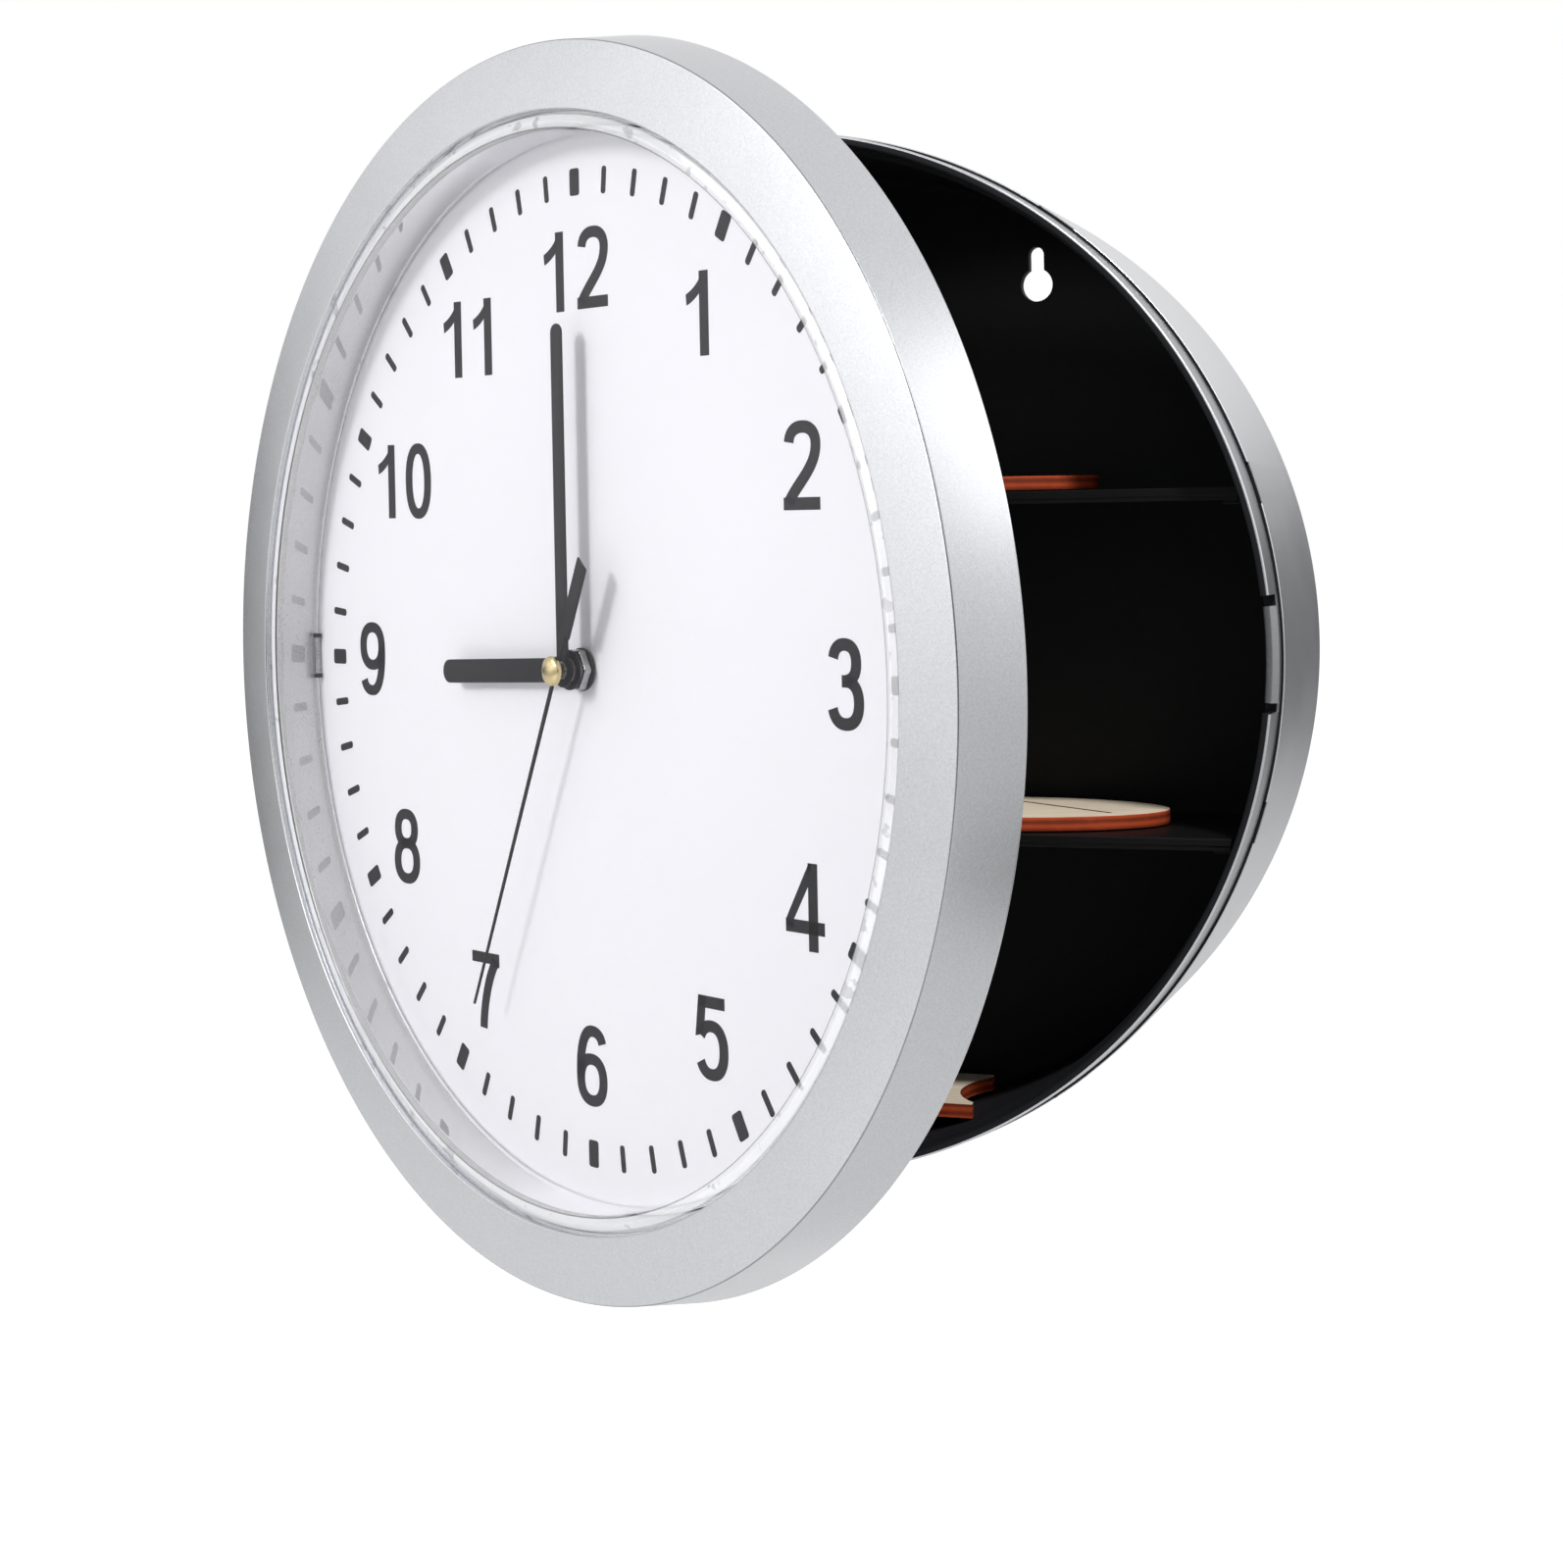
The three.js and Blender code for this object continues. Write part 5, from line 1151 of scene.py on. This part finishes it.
def makeStudio():
    scene = bpy.context.scene
    scene.view_settings.view_transform = "Standard"
    sky = Finish("studio", bpy.data.worlds.new("studio"))
    scene.world = sky.owner
    camera, glossy, clear = rays(sky)
    seen = camera + glossy + clear
    strength = seen.maths("MINIMUM", seen, 1.0) * (1.0 - studio["worldLight"]) + studio["worldLight"]
    sky.done(sky.node("Background", None, {"Color": (1, 1, 1, 1), "Strength": strength}), "World")
    paint = Finish("paleFloor")
    camera, glossy, clear = rays(paint)
    strength = (camera + clear) * studio["floorGlow"] + glossy * studio["mirroredGlow"]
    matt = paint.node("BsdfDiffuse", None, {"Color": (0.9, 0.9, 0.9, 1)})
    glow = paint.node("Emission", None, {"Color": (1, 1, 1, 1), "Strength": strength})
    finish = paint.done(paint.node("AddShader", None, {0: matt, 1: glow}))
    sheet("floor", 12.0, 12.0, studio["floor"], finish)


makeStudio()

# Soft lamps: place, size and power; each one looks at the middle of the clock
lamps = {
    "key": {"at": (-0.83, -1.13, 0.55), "size": (0.3, 0.3), "power": 8.4},
    "sideBox": {"at": (-1.1, -1.0, 0.9), "size": (0.9, 0.7), "power": 4.0},
    "rightBox": {"at": (1.2, 0.1, 0.75), "size": (0.75, 0.75), "power": 2.7},
}
# Narrow lamp that reaches the boards through the opening
spot = {"at": (0.405, -0.456, 0.672), "target": (0.06, -0.035, -0.025), "angle": 14.0,
        "radius": 0.045, "power": 30.0}
# Panels with soft edges round the clock, which only its shiny parts mirror: place,
# half width and height, width of the soft edge and brightness
panels = {
    "leftDark": {"at": (-1.2, 0.58, -0.05), "half": (0.75, 0.5), "feather": 0.42, "tone": 0.03},
    "leftBright": {"at": (-1.2, -0.6, 0.22), "half": (0.56, 0.46), "feather": 0.42, "tone": 1.82},
    "rearDark": {"at": (0.215, 1.165, -0.02), "half": (0.66, 0.33), "feather": 0.26, "tone": 0.01},
    "lowDark": {"at": (0.55, -0.02, -0.33), "half": (0.28, 0.22), "feather": 0.16, "tone": 0.3},
    "frontDark": {"at": (0.39, -1.12, 0.03), "half": (0.72, 0.37), "feather": 0.3, "tone": 0.08},
}


def aimed(place, target=(0, -0.09, 0)):
    back = unit(np.subtract(place, target))
    right = unit(np.cross([0, 0, 1], back))
    matrix = np.eye(4)
    matrix[:3] = np.stack([right, np.cross(back, right), back, place], 1)
    return Matrix(matrix.tolist())


def makeLamps():
    for name, values in lamps.items():
        light = bpy.data.lights.new(name, "AREA")
        light.shape, light.energy = "RECTANGLE", values["power"]
        light.size, light.size_y = values["size"]
        shown(name, light, aimed(values["at"]))
    light = bpy.data.lights.new("boardLight", "SPOT")
    light.spot_size, light.spot_blend = radians(spot["angle"]), 1.0
    light.shadow_soft_size, light.energy = spot["radius"], spot["power"]
    shown("boardLight", light, aimed(spot["at"], spot["target"]))


# The share of a panel falls to nothing over its soft edge, on the panel's own two axes
def makePanels():
    for name, values in panels.items():
        paint, share, tone = Finish(name), 1.0, values["tone"]
        for half, direction in zip(values["half"], ((1, 0, 0), (0, 1, 0))):
            share = share * paint.node("MapRange", {"interpolation_type": "SMOOTHSTEP"}, {
                "Value": half - paint.axis(direction).size(), "From Min": 0.0, "From Max": values["feather"]})
        glow = paint.node("Emission", None, {"Color": (tone, tone, tone, 1), "Strength": 1.0})
        finish = paint.mixed(share, paint.node("BsdfTransparent"), glow)
        panel = sheet(name, *values["half"], 0, finish, aimed(values["at"]))
        panel.visible_camera = panel.visible_shadow = panel.visible_diffuse = False


makeLamps()
makePanels()

# Camera, fitted to the rings and marks of the photographed clock
view = {"right": (0.9304, 0.36604, -0.01915), "up": (0.01188, 0.0221, 0.99969),
        "back": (0.36635, -0.93034, 0.01622), "at": (0.2352, -0.6373, 0.0303),
        "lens": 66.65, "shift": (-0.0056, -0.1428)}
camera = bpy.data.cameras.new("camera")
camera.lens, camera.sensor_width = view["lens"], 36.0
camera.shift_x, camera.shift_y = view["shift"]
pose = np.eye(4)
pose[:3] = np.stack([view[key] for key in ("right", "up", "back", "at")], 1)
bpy.context.scene.camera = shown("camera", camera, Matrix(pose.tolist()))
print("studio made")
